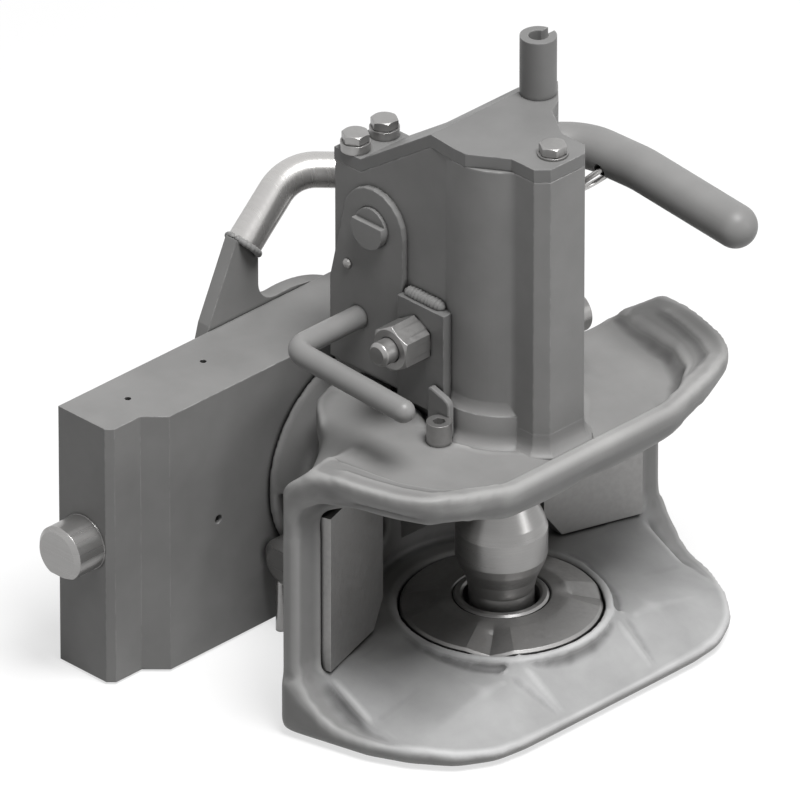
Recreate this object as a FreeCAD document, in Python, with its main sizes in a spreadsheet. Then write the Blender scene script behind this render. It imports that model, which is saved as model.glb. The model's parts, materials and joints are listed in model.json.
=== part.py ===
import FreeCAD, Part
import math
import os
import re
import Sketcher

# Automatic tractor hitch, millimetres. The origin is where the coupling pin's axis crosses the swivel
# axis. +X runs across the tractor, -Y out of the mouth, +Z up.

SIZES = {
    # guide plate
    "plate_front": 88, "plate_back": 127, "plate_face_half": 107.4, "plate_step": 8.6,
    "plate_half": 133.8, "plate_edge_chamfer": 2.9, "plate_bottom": -63, "plate_top": 59,
    "boss_radius": 32, "boss_end": 134, "spigot_radius": 30.8, "spigot_end": 137,
    "oil_hole_radius": 1.4, "oil_hole_depth": 20, "face_hole_radius": 2, "face_hole_x": -79,
    # swivel bearing
    "journal_radius": 25, "running_gap": 0.06, "bush_radius": 28.5, "swivel_gap": 0.3,
    "thread_radius": 20, "thread_end": 157, "washer_radius": 36, "washer_thickness": 3,
    "hub_nut_flats": 60, "hub_nut_height": 12, "disc_ring_radius": 36, "disc_ring_thickness": 2,
    # locking bolts
    "bolt_radius": 12.5, "bolt_y": 112, "bolt_reach": 150, "bolt_travel": 16, "bolt_inner": 50,
    "bolt_chamfer": 2, "nose_radius": 12.2, "bolt_seat": 31, "bolt_flat": 9.5, "bolt_flat_length": 16,
    "follower_radius": 3, "follower_at": 56, "cam_gap": 0.3,
    "lock_spring_radius": 7.5, "lock_spring_wire": 2, "lock_spring_hole": 8.2,
    "lock_spring_depth": 40, "lock_spring_turns": 6,
    # lock disc and its handle
    "disc_radius": 60.6, "disc_thickness": 6.5, "disc_gap": 0.3, "lock_turn": 32, "arm_edge_x": -16.5,
    "handle_radius": 7.7,
    # cast body of the jaw
    "flange_radius": 50.5, "flange_front": 83, "neck_radius": 50, "neck_low_radius": 44,
    "neck_front": 48, "band_front": 67, "throat_radius": 56, "roof": 38, "floor": -38,
    "upper_front": -55, "upper_front_half": 52, "upper_top": 58.5, "web_top": 52, "wing_top": 67.5,
    "rim_width": 8, "top_recess": 7, "lower_front": -66, "lower_front_half": 50, "lower_low": -63,
    "jaw_half": 108, "wing_back": 17, "mouth_half": 94.3, "lip_front": 11, "lip_round": 25,
    "side_roof": 57, "side_floor": -54.5, "floor_ring": 47, "tower_seat": 52.5, "seat_radius": 33.5,
    "recess_radius": 43.5, "recess_depth": 7, "pocket_radius": 20.2, "pocket_end": -52,
    "drain_radius": 7,
    "screw_x": -38, "stop_left": -48, "stop_y": 76, "stop_z": -29, "stop_radius": 7,
    "stop_head_radius": 10.8, "stop_pin_radius": 2.2,
    # wear parts in the jaw
    "wear_plate_thickness": 6, "wear_plate_top": 36.5, "wear_plate_low": -37, "wear_disc_radius": 41,
    "wear_disc_top": -34, "seat_ring_radius": 20.2, "seat_ring_bore": 16.3, "seat_ring_top": -33.4,
    # coupling pin
    "pin_radius": 19.5, "pin_neck": 14, "pin_tip": 13.9, "pin_low": -42, "pin_head": 106,
    "pin_shoulder": 42, "guide_radius": 24, "guide_low": 38.6, "guide_top": 60,
    "arm_slot_left": -12.5, "arm_slot_right": -0.5, "arm_slot_low": 70,
    # tower
    "tower_radius": 25.7, "tower_bore": 20.4, "tower_top": 182, "cover_thickness": 6,
    "rib_half": 15, "rib_front": -38, "rib_corner": 5, "collar_radius": 28, "collar_top": 67,
    "foot_radius": 32, "box_left": -24, "box_right": 4.5, "box_back": 74, "box_fold": 18,
    "box_wide": 46, "box_wide_back": 37, "box_low": 59, "strip_front": 59, "strip_top": 154,
    "box_wall": 5.5, "head_flats": 10.5, "spacer_height": 4, "tube_radius": 7.8, "tube_bore": 4.2,
    "tube_height": 27, "tube_y": 12,
    # lever shaft and what it carries
    "shaft_y": 49, "shaft_z": 133, "shaft_radius": 9, "lever_radius": 9.5, "lever_x": 85.5,
    "lever_bend": 24, "arm_length": 57, "arm_angle": -40.5, "arm_half_width": 8, "arm_hub": 15,
    "arm_left": -11.5, "arm_right": -1.5, "lift_pin_radius": 4.5, "lever_turn": 80,
    "plug_radius": 9.4, "plug_inner": 24, "plug_z": 84.5, "bearing_radius": 14, "bearing_end": 56, "ring_radius": 12.5, "ring_wire": 2.5, "ring_tilt": 48,
    "ring_y": 16, "pad_radius": 17.5, "pad_low": 62, "pad_thickness": 3,
    # release lever, catch and trip finger
    "release_y": 57, "release_z": 87, "release_radius": 5, "release_x": -66, "release_tip": -8, "release_bend": 7.5,
    "release_turn": 8, "finger_left": -18, "finger_right": -14,
}

doc = FreeCAD.newDocument("tractor_hitch")
SHEET = doc.addObject("Spreadsheet::Sheet", "Sizes")
for row, (alias, number) in enumerate(SIZES.items(), start=1):
    SHEET.set("A%d" % row, alias)
    SHEET.set("B%d" % row, str(number))
    SHEET.setAlias("B%d" % row, alias)
doc.recompute()

WORD = re.compile(r"[a-z_][a-z_0-9]*")
TURNS = {
    "X": FreeCAD.Rotation(FreeCAD.Vector(0, 1, 0), 90),
    "Y": FreeCAD.Rotation(FreeCAD.Vector(1, 0, 0), -90),
    "Z": FreeCAD.Rotation(),
}
PIECES = []


def bound(text):
    """The expression with each size written as its cell."""
    return WORD.sub(lambda found: ("Sizes." if found.group() in SIZES else "") + found.group(), str(text))


def value(text):
    return float(SHEET.evalExpression(bound(text)))


def vector(x, y, z):
    return FreeCAD.Vector(value(x), value(y), value(z))


def piece(shape_object, node):
    """Marks a finished sub-part and names it."""
    shape_object.Label = node
    PIECES.append(shape_object)
    return shape_object


def place(shape_object, x, y, z):
    for letter, text in zip("xyz", (x, y, z)):
        shape_object.setExpression("Placement.Base." + letter, bound(text))
    return shape_object


def block(name, x0, x1, y0, y1, z0, z1):
    box = doc.addObject("Part::Box", name)
    for side, low, high in (("Length", x0, x1), ("Width", y0, y1), ("Height", z0, z1)):
        box.setExpression(side, bound("(%s) - (%s)" % (high, low)))
    return place(box, x0, y0, z0)


def axis_place(shape_object, axis, start, first, second):
    shape_object.Placement = FreeCAD.Placement(FreeCAD.Vector(), TURNS[axis])
    spots = {"X": (start, first, second), "Y": (first, start, second), "Z": (first, second, start)}
    return place(shape_object, *spots[axis])


def rod(name, axis, radius, start, end, first="0", second="0"):
    """A cylinder along an axis; first and second are its centre on the other two axes."""
    cylinder = doc.addObject("Part::Cylinder", name)
    cylinder.setExpression("Radius", bound(radius))
    cylinder.setExpression("Height", bound("(%s) - (%s)" % (end, start)))
    return axis_place(cylinder, axis, start, first, second)


def cone(name, axis, radius_start, radius_end, start, end, first="0", second="0"):
    shape = doc.addObject("Part::Cone", name)
    shape.setExpression("Radius1", bound(radius_start))
    shape.setExpression("Radius2", bound(radius_end))
    shape.setExpression("Height", bound("(%s) - (%s)" % (end, start)))
    return axis_place(shape, axis, start, first, second)


def hexagon(name, axis, flats, start, end, first="0", second="0"):
    prism = doc.addObject("Part::Prism", name)
    prism.Polygon = 6
    prism.setExpression("Circumradius", bound("(%s) / 2 / cos(30)" % flats))
    prism.setExpression("Height", bound("(%s) - (%s)" % (end, start)))
    return axis_place(prism, axis, start, first, second)


def join(name, *shapes):
    fuse = doc.addObject("Part::MultiFuse", name)
    fuse.Shapes = list(shapes)
    return fuse


def cut(name, base, *tools):
    result = doc.addObject("Part::Cut", name)
    result.Base = base
    result.Tool = tools[0] if len(tools) == 1 else join(name + "_tools", *tools)
    return result


def common(name, first, second):
    result = doc.addObject("Part::Common", name)
    result.Base = first
    result.Tool = second
    return result


def new_body(name):
    return doc.addObject("PartDesign::Body", name)


def outline(body, name, plane, points, offset="0"):
    """A closed sketch of straight sides, each corner held to cells of the sheet."""
    sketch = body.newObject("Sketcher::SketchObject", name)
    base = [item for item in body.Origin.OriginFeatures if item.Role == plane + "_Plane"][0]
    sketch.AttachmentSupport = [(base, "")]
    sketch.MapMode = "FlatFace"
    sketch.setExpression("AttachmentOffset.Base.z", bound(offset))
    spots = [FreeCAD.Vector(value(x), value(y), 0) for x, y in points]
    count = len(points)
    for index in range(count):
        sketch.addGeometry(Part.LineSegment(spots[index], spots[(index + 1) % count]))
    for index in range(count):
        sketch.addConstraint(Sketcher.Constraint("Coincident", index, 2, (index + 1) % count, 1))
    for index, (x, y) in enumerate(points):
        for kind, text, number in (("DistanceX", x, spots[index].x), ("DistanceY", y, spots[index].y)):
            place_at = sketch.addConstraint(Sketcher.Constraint(kind, -1, 1, index, 1, number))
            sketch.setExpression("Constraints[%d]" % place_at, bound(text))
    return sketch


def extrude(kind, body, name, plane, points, start, end):
    """Pads or pockets the outline from start to end along the plane's world axis."""
    away = plane == "XZ"
    sketch = outline(body, name + "_sketch", plane, points, "-(%s)" % end if away else start)
    feature = body.newObject("PartDesign::" + kind, name)
    feature.Profile = sketch
    feature.setExpression("Length", bound("(%s) - (%s)" % (end, start)))
    feature.Reversed = kind == "Pocket"
    doc.recompute()
    return feature


def pad(body, name, plane, points, start, end):
    return extrude("Pad", body, name, plane, points, start, end)


def pocket(body, name, plane, points, start, end):
    before = body.Tip.Shape.Volume
    feature = extrude("Pocket", body, name, plane, points, start, end)
    if feature.Shape.Volume > before - 1:
        raise ValueError(name + " cuts nothing")
    return feature


def circle_feature(kind, body, name, plane, radius, start, end, x="0", y="0"):
    """A round pad or pocket between start and end along the plane's world axis."""
    sketch = body.newObject("Sketcher::SketchObject", name + "_sketch")
    base = [item for item in body.Origin.OriginFeatures if item.Role == plane + "_Plane"][0]
    sketch.AttachmentSupport = [(base, "")]
    sketch.MapMode = "FlatFace"
    sketch.setExpression("AttachmentOffset.Base.z", bound("-(%s)" % end if plane == "XZ" else start))
    centre = FreeCAD.Vector(value(x), value(y), 0)
    sketch.addGeometry(Part.Circle(centre, FreeCAD.Vector(0, 0, 1), value(radius)))
    spot = sketch.addConstraint(Sketcher.Constraint("Radius", 0, value(radius)))
    sketch.setExpression("Constraints[%d]" % spot, bound(radius))
    for side, text, number in (("DistanceX", x, centre.x), ("DistanceY", y, centre.y)):
        spot = sketch.addConstraint(Sketcher.Constraint(side, -1, 1, 0, 3, number))
        sketch.setExpression("Constraints[%d]" % spot, bound(text))
    feature = body.newObject("PartDesign::" + kind, name)
    feature.Profile = sketch
    feature.setExpression("Length", bound("(%s) - (%s)" % (end, start)))
    feature.Reversed = kind == "Pocket"
    doc.recompute()
    return feature


def revolve(body, name, plane, points, axis="V_Axis"):
    sketch = outline(body, name + "_sketch", plane, points)
    feature = body.newObject("PartDesign::Revolution", name)
    feature.Profile = sketch
    feature.ReferenceAxis = (sketch, [axis])
    feature.Angle = 360
    doc.recompute()
    return feature


def soften(body, name, kind, size, choose):
    """A fillet or chamfer on the edges that choose picks."""
    base = body.Tip
    names = ["Edge%d" % (index + 1) for index, edge in enumerate(base.Shape.Edges) if choose(edge)]
    if not names:
        raise ValueError(name + " finds no edge")
    feature = body.newObject("PartDesign::" + kind, name)
    feature.Base = (base, names)
    feature.setExpression("Radius" if kind == "Fillet" else "Size", bound(size))
    doc.recompute()
    return feature


def upright(edge):
    """True for a straight edge along Z."""
    if edge.Curve.TypeId != "Part::GeomLine":
        return False
    return abs(edge.tangentAt(edge.FirstParameter).z) > 0.999


def mirrored(points):
    """The outline of +X points followed by their mirror images, back to front."""
    return points + [("-(%s)" % x, y) for x, y in reversed(points)]


def bent_bar(name, radius, points, bends, tip=False):
    """A round bar of straight runs joined by tangent elbows; tip gives it a round free end."""
    spots = [vector(*point) for point in points]
    thick = value(radius)
    runs = []
    start = spots[0]
    for index in range(1, len(spots) - 1):
        back = (spots[index - 1] - spots[index]).normalize()
        ahead = (spots[index + 1] - spots[index]).normalize()
        half = back.getAngle(ahead) / 2
        bend = value(bends[index - 1])
        first = spots[index] + back * (bend / math.tan(half))
        centre = spots[index] + (back + ahead).normalize() * (bend / math.sin(half))
        runs.append(Part.makeCylinder(thick, start.distanceToPoint(first), start, first - start))
        disc = Part.Face(Part.Wire(Part.makeCircle(thick, first, first - start)))
        axis = (first - centre).cross(first - start)
        runs.append(disc.revolve(centre, axis, 180 - math.degrees(2 * half)))
        start = spots[index] + ahead * (bend / math.tan(half))
    runs.append(Part.makeCylinder(thick, start.distanceToPoint(spots[-1]), start, spots[-1] - start))
    if tip:
        runs.append(Part.makeSphere(thick, spots[-1]))
    bar = doc.addObject("Part::Feature", name)
    bar.Shape = runs[0].multiFuse(runs[1:]).removeSplitter()
    return bar


def coil(name, axis, radius, wire, start, end, turns, first, second):
    """A helical spring of square wire."""
    length = value(end) - value(start) - value(wire)
    rounds = value(turns)
    helix = Part.makeHelix(length / rounds, length, value(radius))
    half = value(wire) / 2
    corners = [(-half, -half), (half, -half), (half, half), (-half, half), (-half, -half)]
    spots = [FreeCAD.Vector(value(radius) + x, 0, z) for x, z in corners]
    solid = Part.Wire(helix).makePipeShell([Part.makePolygon(spots)], True, True)
    spring = doc.addObject("Part::Feature", name)
    spring.Shape = solid
    begin = "(%s) + (%s) / 2" % (start, wire)
    middle = {"X": (begin, first, second), "Y": (first, begin, second), "Z": (first, second, begin)}[axis]
    spring.Placement = FreeCAD.Placement(vector(*middle), TURNS[axis])
    return spring


# The guide plate slides between the rails of the tractor's frame on its two tongues.
def carrier_plate():
    body = new_body("plate_body")
    half_plan = [
        ("plate_face_half", "plate_front"),
        ("plate_face_half + plate_step", "plate_front + plate_step"),
        ("plate_half - plate_edge_chamfer", "plate_front + plate_step"),
        ("plate_half", "plate_front + plate_step + plate_edge_chamfer"),
        ("plate_half", "plate_back"),
    ]
    pad(body, "plate_slab", "XY", mirrored(half_plan), "plate_bottom", "plate_top")
    circle_feature("Pad", body, "rear_boss", "XZ", "boss_radius", "plate_back", "boss_end")
    circle_feature("Pad", body, "rear_spigot", "XZ", "spigot_radius", "boss_end", "spigot_end")
    tools = [
        rod("bush_bore", "Y", "bush_radius", "plate_front - 1", "spigot_end + 1"),
        rod("face_hole", "Y", "face_hole_radius", "plate_front - 1", "plate_front + 14", "face_hole_x", "-2"),
    ]
    for side, sign in (("left", "-1"), ("right", "1")):
        inner = "bolt_seat" if side == "right" else "-plate_half - 1"
        outer = "plate_half + 1" if side == "right" else "-bolt_seat"
        tools.append(rod("bolt_bore_" + side, "X", "bolt_radius + running_gap", inner, outer, "bolt_y"))
        near = "follower_at - bolt_travel"
        low = near if side == "right" else "-follower_at"
        high = "follower_at" if side == "right" else "-(%s)" % near
        slot_half = "follower_radius + 0.5"
        tools.append(block("follower_slot_" + side, low, high, "bolt_y", "plate_back + 1",
                           "-(%s)" % slot_half, slot_half))
        for end_name, end_x in (("a", low), ("b", high)):
            tools.append(rod("slot_end_%s_%s" % (side, end_name), "Y", slot_half, "bolt_y",
                             "plate_back + 1", end_x))
    for index, hole_x in enumerate(("-109", "-65", "65", "109")):
        tools.append(rod("oil_hole_%d" % index, "Z", "oil_hole_radius", "plate_top - oil_hole_depth",
                         "plate_top + 1", hole_x, "bolt_y - 1"))
    piece(cut("carrier_cut", body, *tools), "carrier_plate")
    bush = rod("bush_outer", "Y", "bush_radius", "plate_front", "spigot_end")
    hole = rod("bush_inner", "Y", "journal_radius + running_gap", "plate_front - 1", "spigot_end + 1")
    piece(cut("bush_cut", bush, hole), "swivel_bush")


# Each locking bolt is pushed out by a spring and drawn in by its follower pin.
def locking_bolts():
    for side, sign in (("left", -1), ("right", 1)):
        body = new_body("bolt_body_" + side)
        profile = [
            ("%d * bolt_inner" % sign, "0"),
            ("%d * bolt_inner" % sign, "bolt_radius"),
            ("%d * (plate_half + swivel_gap)" % sign, "bolt_radius"),
            ("%d * (plate_half + swivel_gap)" % sign, "nose_radius"),
            ("%d * (bolt_reach - bolt_chamfer)" % sign, "nose_radius"),
            ("%d * bolt_reach" % sign, "nose_radius - bolt_chamfer"),
            ("%d * bolt_reach" % sign, "0"),
        ]
        revolve(body, "bolt_turned_" + side, "XZ", profile, "H_Axis")
        place(body, "0", "bolt_y", "0")
        hole_ends = ["bolt_inner - 1", "bolt_inner + lock_spring_depth"]
        flat_ends = ["bolt_reach - bolt_flat_length", "bolt_reach + 1"]
        if sign < 0:
            hole_ends = ["-(%s)" % text for text in reversed(hole_ends)]
            flat_ends = ["-(%s)" % text for text in reversed(flat_ends)]
        spring_hole = rod("spring_hole_" + side, "X", "lock_spring_hole", *hole_ends, "bolt_y")
        pin_hole = rod("pin_hole_" + side, "Y", "follower_radius", "bolt_y + lock_spring_hole - 1",
                       "bolt_y + bolt_radius + 1", "%d * follower_at" % sign)
        flat = block("bolt_flat_" + side, *flat_ends, "bolt_y - bolt_radius - 1", "bolt_y + bolt_radius + 1",
                     "-bolt_radius - 1", "-bolt_flat")
        piece(cut("bolt_cut_" + side, body, spring_hole, pin_hole, flat), "locking_bolt_" + side)
        piece(rod("follower_" + side, "Y", "follower_radius", "bolt_y + lock_spring_hole + 0.2",
                  "plate_back + disc_gap + disc_thickness", "%d * follower_at" % sign), "bolt_pin_" + side)
        spring_ends = ["bolt_seat + 0.5", "bolt_inner + lock_spring_depth - 0.5"]
        if sign < 0:
            spring_ends = ["-(%s)" % text for text in reversed(spring_ends)]
        piece(coil("lock_coil_" + side, "X", "lock_spring_radius - lock_spring_wire / 2",
                   "lock_spring_wire", *spring_ends, "lock_spring_turns", "bolt_y", "0"),
              "lock_spring_" + side)


def cam_slot(name, start_angle):
    """The spiral slot that a follower runs in while the disc turns."""
    steps = 8
    half = value("follower_radius + cam_gap")
    front = value("plate_back") - 1
    depth = value("disc_thickness + disc_gap") + 2
    centres = []
    for index in range(steps + 1):
        share = index / steps
        radius = value("follower_at") - value("bolt_travel") * share
        angle = math.radians(start_angle - value("lock_turn") * share)
        centres.append(FreeCAD.Vector(radius * math.cos(angle), front, radius * math.sin(angle)))
    spine = Part.BSplineCurve()
    spine.interpolate(centres)
    sides = []
    for sign in (1, -1):
        points = []
        for index in range(steps + 1):
            at = spine.FirstParameter + (spine.LastParameter - spine.FirstParameter) * index / steps
            spot = spine.value(at)
            along = spine.tangent(at)[0]
            points.append(spot + FreeCAD.Vector(-along.z, 0, along.x) * half * sign)
        side = Part.BSplineCurve()
        side.interpolate(points)
        sides.append(side.toShape())
    face = Part.makeRuledSurface(sides[0], sides[1])
    slot = face.extrude(FreeCAD.Vector(0, depth, 0))
    for centre in (centres[0], centres[-1]):
        slot = slot.fuse(Part.makeCylinder(half, depth, centre, FreeCAD.Vector(0, 1, 0)))
    feature = doc.addObject("Part::Feature", name)
    feature.Shape = slot
    return feature


# The lock disc turns on the plate's rear boss and draws both bolts in by its two spiral slots.
def lock_disc():
    front = "plate_back + disc_gap"
    back = front + " + disc_thickness"
    body = new_body("disc_body")
    circle_feature("Pad", body, "disc_round", "XZ", "disc_radius", front, back)
    arm = [("arm_edge_x", "0"), ("arm_edge_x", "82.5"), ("-29", "96"), ("-45.5", "61"), ("-58", "16")]
    pad(body, "disc_arm", "XZ", arm, front, back)
    crotch = lambda edge: (edge.Curve.TypeId == "Part::GeomLine" and abs(edge.tangentAt(0).y) > 0.99
                           and edge.CenterOfMass.x > value("arm_edge_x") - 1
                           and edge.CenterOfMass.z > value("disc_radius") - 12)
    soften(body, "arm_root", "Fillet", "10", lambda edge: crotch(edge) and edge.CenterOfMass.z < 70)
    bore = rod("disc_bore", "Y", "boss_radius + 0.3", "plate_back - 1", back + " + 1")
    disc = cut("disc_cut", body, bore, cam_slot("cam_left", 180), cam_slot("cam_right", 0))
    piece(disc, "lock_disc")
    handle = bent_bar("handle_bar", "handle_radius",
                      [("-22.68", "130.5", "89.31"), ("5.15", "130.5", "115.1"), ("53", "90", "111.5")],
                      ["20"])
    piece(handle, "lock_handle")
    ring = rod("ring_outer", "Y", "disc_ring_radius", "boss_end", "boss_end + disc_ring_thickness")
    hole = rod("ring_inner", "Y", "spigot_radius", "boss_end - 1", "spigot_end")
    piece(cut("ring_cut", ring, hole), "disc_ring")


# Plan outlines of the jaw, right half, from the front corner back to the neck.
UPPER_HALF = [("upper_front_half", "upper_front"), ("72", "upper_front + 4"), ("87", "-44"), ("95", "-32"),
              ("101", "-15"), ("jaw_half - 1", "8"), ("jaw_half", "wing_back"), ("60", "46"),
              ("neck_radius - 4", "64")]
LOWER_HALF = [("lower_front_half", "lower_front"), ("66", "lower_front + 2"), ("82", "-55"), ("94", "-39"),
              ("102", "-22"), ("jaw_half", "4"), ("jaw_half + 1", "wing_back"), ("60", "46"),
              ("neck_low_radius - 4", "64")]
WALL_HALF = [("84", "lip_front - 6"), ("jaw_half - 3", "lip_front - 6"), ("jaw_half", "wing_back"),
             ("60", "46"), ("neck_low_radius", "64")]
TOP_HALF = [("upper_front_half - 5", "upper_front + rim_width"), ("68", "upper_front + rim_width + 3"),
            ("80", "-40"), ("86", "-29"), ("91", "-15"), ("96", "4"), ("96", "wing_back - rim_width"),
            ("52", "24"), ("50", "46")]

# The mouth's opening at four stations along Y, right half: roof, side and floor.
MOUTH_STATIONS = [
    ("13", [("50", "roof"), ("mouth_half", "roof"), ("mouth_half", "floor + 1"), ("60", "floor")]),
    ("-17", [("50", "roof"), ("mouth_half", "side_roof - 2"), ("mouth_half", "side_floor + 2"),
             ("50", "floor - 4.5")]),
    ("-40", [("50", "roof + 2.5"), ("mouth_half", "side_roof"), ("mouth_half", "side_floor - 0.5"),
             ("50", "floor - 6")]),
    ("-80", [("50", "roof + 7.5"), ("mouth_half", "side_roof"), ("mouth_half", "side_floor - 7"),
             ("50", "side_floor - 9.5")]),
]
WEDGE_STATIONS = [
    ("-36", [("38", "floor - 12"), ("36", "floor - 4.5"), ("27", "floor + 0.5")]),
    ("lower_front + 3", [("29", "side_floor - 5"), ("28", "side_floor - 1"), ("27", "side_floor - 0.5")]),
]


def loft(name, stations):
    """A solid through closed sections that stand across Y."""
    body = new_body(name + "_body")
    sketches = [outline(body, "%s_station_%d" % (name, index), "XZ", mirrored(half), "-(%s)" % y)
                for index, (y, half) in enumerate(stations)]
    doc.recompute()
    feature = body.newObject("PartDesign::AdditiveLoft", name)
    feature.Profile = sketches[0]
    feature.Sections = sketches[1:]
    feature.Ruled = True
    doc.recompute()
    return body


def side_windows():
    """Cutters for the mouth's open sides, with a round corner at the floor behind."""
    window = [("lip_front", "roof + 2"), ("lip_front - 2", "roof + 8"), ("lip_front - 9", "roof + 14"),
              ("-17", "side_roof - 1"), ("-40", "side_roof"), ("-90", "side_roof"), ("-90", "side_floor - 2")]
    steps = 5
    for index in range(steps + 1):
        angle = "%g" % (90 * index / steps)
        window.append(("lip_front - lip_round + lip_round * sin(%s)" % angle,
                       "side_floor + lip_round - lip_round * cos(%s)" % angle))
    windows = []
    for side, ends in (("right", ("mouth_half - 1", "jaw_half + 20")), ("left", ("-jaw_half - 20", "1 - mouth_half"))):
        body = new_body(side + "_window_body")
        pad(body, side + "_window", "YZ", window, *ends)
        windows.append(body)
    return windows


def top_hollow():
    """The sunk upper face inside the raised rim. It rises to the wings and to the rear."""
    body = new_body("top_hollow_body")
    pad(body, "hollow_plan", "XY", mirrored(TOP_HALF), "roof + 5", "wing_top + 20")
    across = [("50", "web_top"), ("86", "wing_top - top_recess"), ("130", "wing_top - top_recess"),
              ("130", "roof")]
    pocket(body, "hollow_across", "XZ", mirrored(across), "-90", "90")
    along = [("-90", "web_top - 0.5"), ("-47", "web_top - 0.5"), ("-10", "web_top + 3.5"), ("90", "web_top + 6"),
             ("90", "roof"), ("-90", "roof")]
    pocket(body, "hollow_along", "YZ", along, "-130", "130")
    return body


def outer_bend(edge):
    """True for an upright edge of the rounded front outline."""
    return upright(edge) and edge.CenterOfMass.y < 0


def lower_jaw():
    body = new_body("lower_jaw_body")
    pad(body, "lower_lip", "XY", mirrored(LOWER_HALF), "lower_low", "floor")
    soften(body, "lower_outline", "Fillet", "22", outer_bend)
    soften(body, "lower_edge", "Fillet", "5",
           lambda edge: abs(edge.BoundBox.ZMax - value("lower_low")) < 0.01 and edge.BoundBox.YMin < 40)
    pad(body, "jaw_walls", "XY", mirrored(WALL_HALF), "floor - 2", "roof + 2")
    return body


def upper_jaw():
    body = new_body("upper_jaw_body")
    pad(body, "upper_lip", "XY", mirrored(UPPER_HALF), "roof", "wing_top + 8")
    soften(body, "upper_outline", "Fillet", "22", outer_bend)
    rim_across = [("46", "upper_top"), ("88", "wing_top"), ("130", "wing_top"), ("130", "wing_top + 20")]
    pocket(body, "rim_across", "XZ", mirrored(rim_across), "-90", "90")
    rim_along = [("-20", "wing_top + 1"), ("wing_back", "wing_top - 6"), ("70", "upper_top - 3"),
                 ("70", "wing_top + 20"), ("-20", "wing_top + 20")]
    pocket(body, "rim_along", "YZ", rim_along, "-130", "130")
    return body


# The casting: two lips joined by side walls and a neck, and behind them the journal it swivels on.
def hitch_body():
    neck = rod("neck", "Y", "neck_low_radius", "neck_front", "flange_front + 1")
    flange = rod("hub_flange", "Y", "flange_radius", "flange_front", "plate_front - swivel_gap")
    bands = join("bands", rod("band", "Y", "neck_radius", "band_front", "flange_front + 1"),
                 rod("band_lip", "Y", "neck_radius - 3", "neck_front", "band_front + 1"))
    above = block("band_half", "-neck_radius", "neck_radius", "neck_front", "plate_front", "1",
                  "neck_radius + 10")
    journal = rod("journal", "Y", "journal_radius", "flange_front", "spigot_end + swivel_gap")
    stub = rod("journal_thread", "Y", "thread_radius", "spigot_end", "thread_end")
    solid = join("jaw_joined", lower_jaw(), upper_jaw(), neck, flange, common("band_upper", bands, above),
                 journal, stub)
    back = new_body("mouth_back_body")
    pad(back, "mouth_back", "XY", mirrored([("mouth_half", "12.9"), ("mouth_half", "13.7"), ("49.5", "27.9")]),
        "floor", "roof")
    opened = cut("jaw_opened", solid, loft("mouth_funnel", MOUTH_STATIONS), back, *side_windows(),
                 rod("throat", "Z", "throat_radius", "floor", "roof"), top_hollow(),
                 rod("tower_flat", "Z", "seat_radius", "tower_seat", "wing_top + 20"),
                 block("box_flat", "box_left - 1", "box_wide + 1", "0", "box_wide_back + 7", "tower_seat",
                       "wing_top + 20"))
    ring = rod("recess_rim", "Z", "floor_ring", "lower_low + 8", "floor")
    raised = join("jaw_raised", opened, loft("floor_wedge", WEDGE_STATIONS), ring)
    piece(cut("jaw_cut", raised,
              rod("disc_recess", "Z", "recess_radius", "floor - recess_depth", "floor + 3"),
              rod("pin_pocket", "Z", "pocket_radius", "pocket_end", "floor"),
              rod("drain", "Z", "drain_radius", "lower_low - 1", "pocket_end + 1"),
              rod("guide_hole", "Z", "guide_radius", "roof - 2", "tower_seat + 20"),
              block("finger_slot", "finger_left - 1.5", "finger_right + 1.5", "25", "62", "-24", "80"),
              rod("screw_seat", "Z", "7", "web_top + 3", "wing_top", "screw_x", "-1"),
              block("tab_seat", "screw_x - 2", "screw_x + 8", "7", "12", "web_top + 3", "wing_top"),
              rod("stop_hole", "X", "stop_radius", "stop_left", "-neck_radius / 2", "stop_y", "stop_z")),
          "hitch_body")
    shank = rod("stop_shank", "X", "stop_radius", "stop_left", "-neck_radius / 2", "stop_y", "stop_z")
    head = rod("stop_head", "X", "stop_head_radius", "stop_left - 5", "stop_left", "stop_y", "stop_z")
    dome = cone("stop_dome", "X", "stop_head_radius - 3.5", "stop_head_radius", "stop_left - 7.5",
                "stop_left - 5", "stop_y", "stop_z")
    pin_spot = ("stop_left - 2.5", "stop_y + 4")
    hole = rod("stop_pin_hole", "Z", "stop_pin_radius", "stop_z - 20", "stop_z", *pin_spot)
    piece(cut("stop_cut", join("stop_joined", shank, head, dome), hole), "dome_bolt")
    piece(rod("stop_pin_round", "Z", "stop_pin_radius", "stop_z - 35", "stop_z", *pin_spot), "dome_pin")


def hub_nut():
    washer = rod("washer_outer", "Y", "washer_radius", "spigot_end + swivel_gap",
                 "spigot_end + swivel_gap + washer_thickness")
    hole = rod("washer_inner", "Y", "thread_radius", "spigot_end - 1", "thread_end")
    piece(cut("washer_cut", washer, hole), "hub_washer")
    start = "spigot_end + swivel_gap + washer_thickness"
    nut = hexagon("nut_hex", "Y", "hub_nut_flats", start, start + " + hub_nut_height")
    crown = cone("nut_crown", "Y", "hub_nut_flats / 2 + 6", "hub_nut_flats / 2 - 1", start,
                 start + " + hub_nut_height")
    bore = rod("nut_bore", "Y", "thread_radius", "spigot_end", "thread_end + 1")
    piece(cut("nut_cut", common("nut_crowned", nut, crown), bore), "hub_nut")


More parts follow.
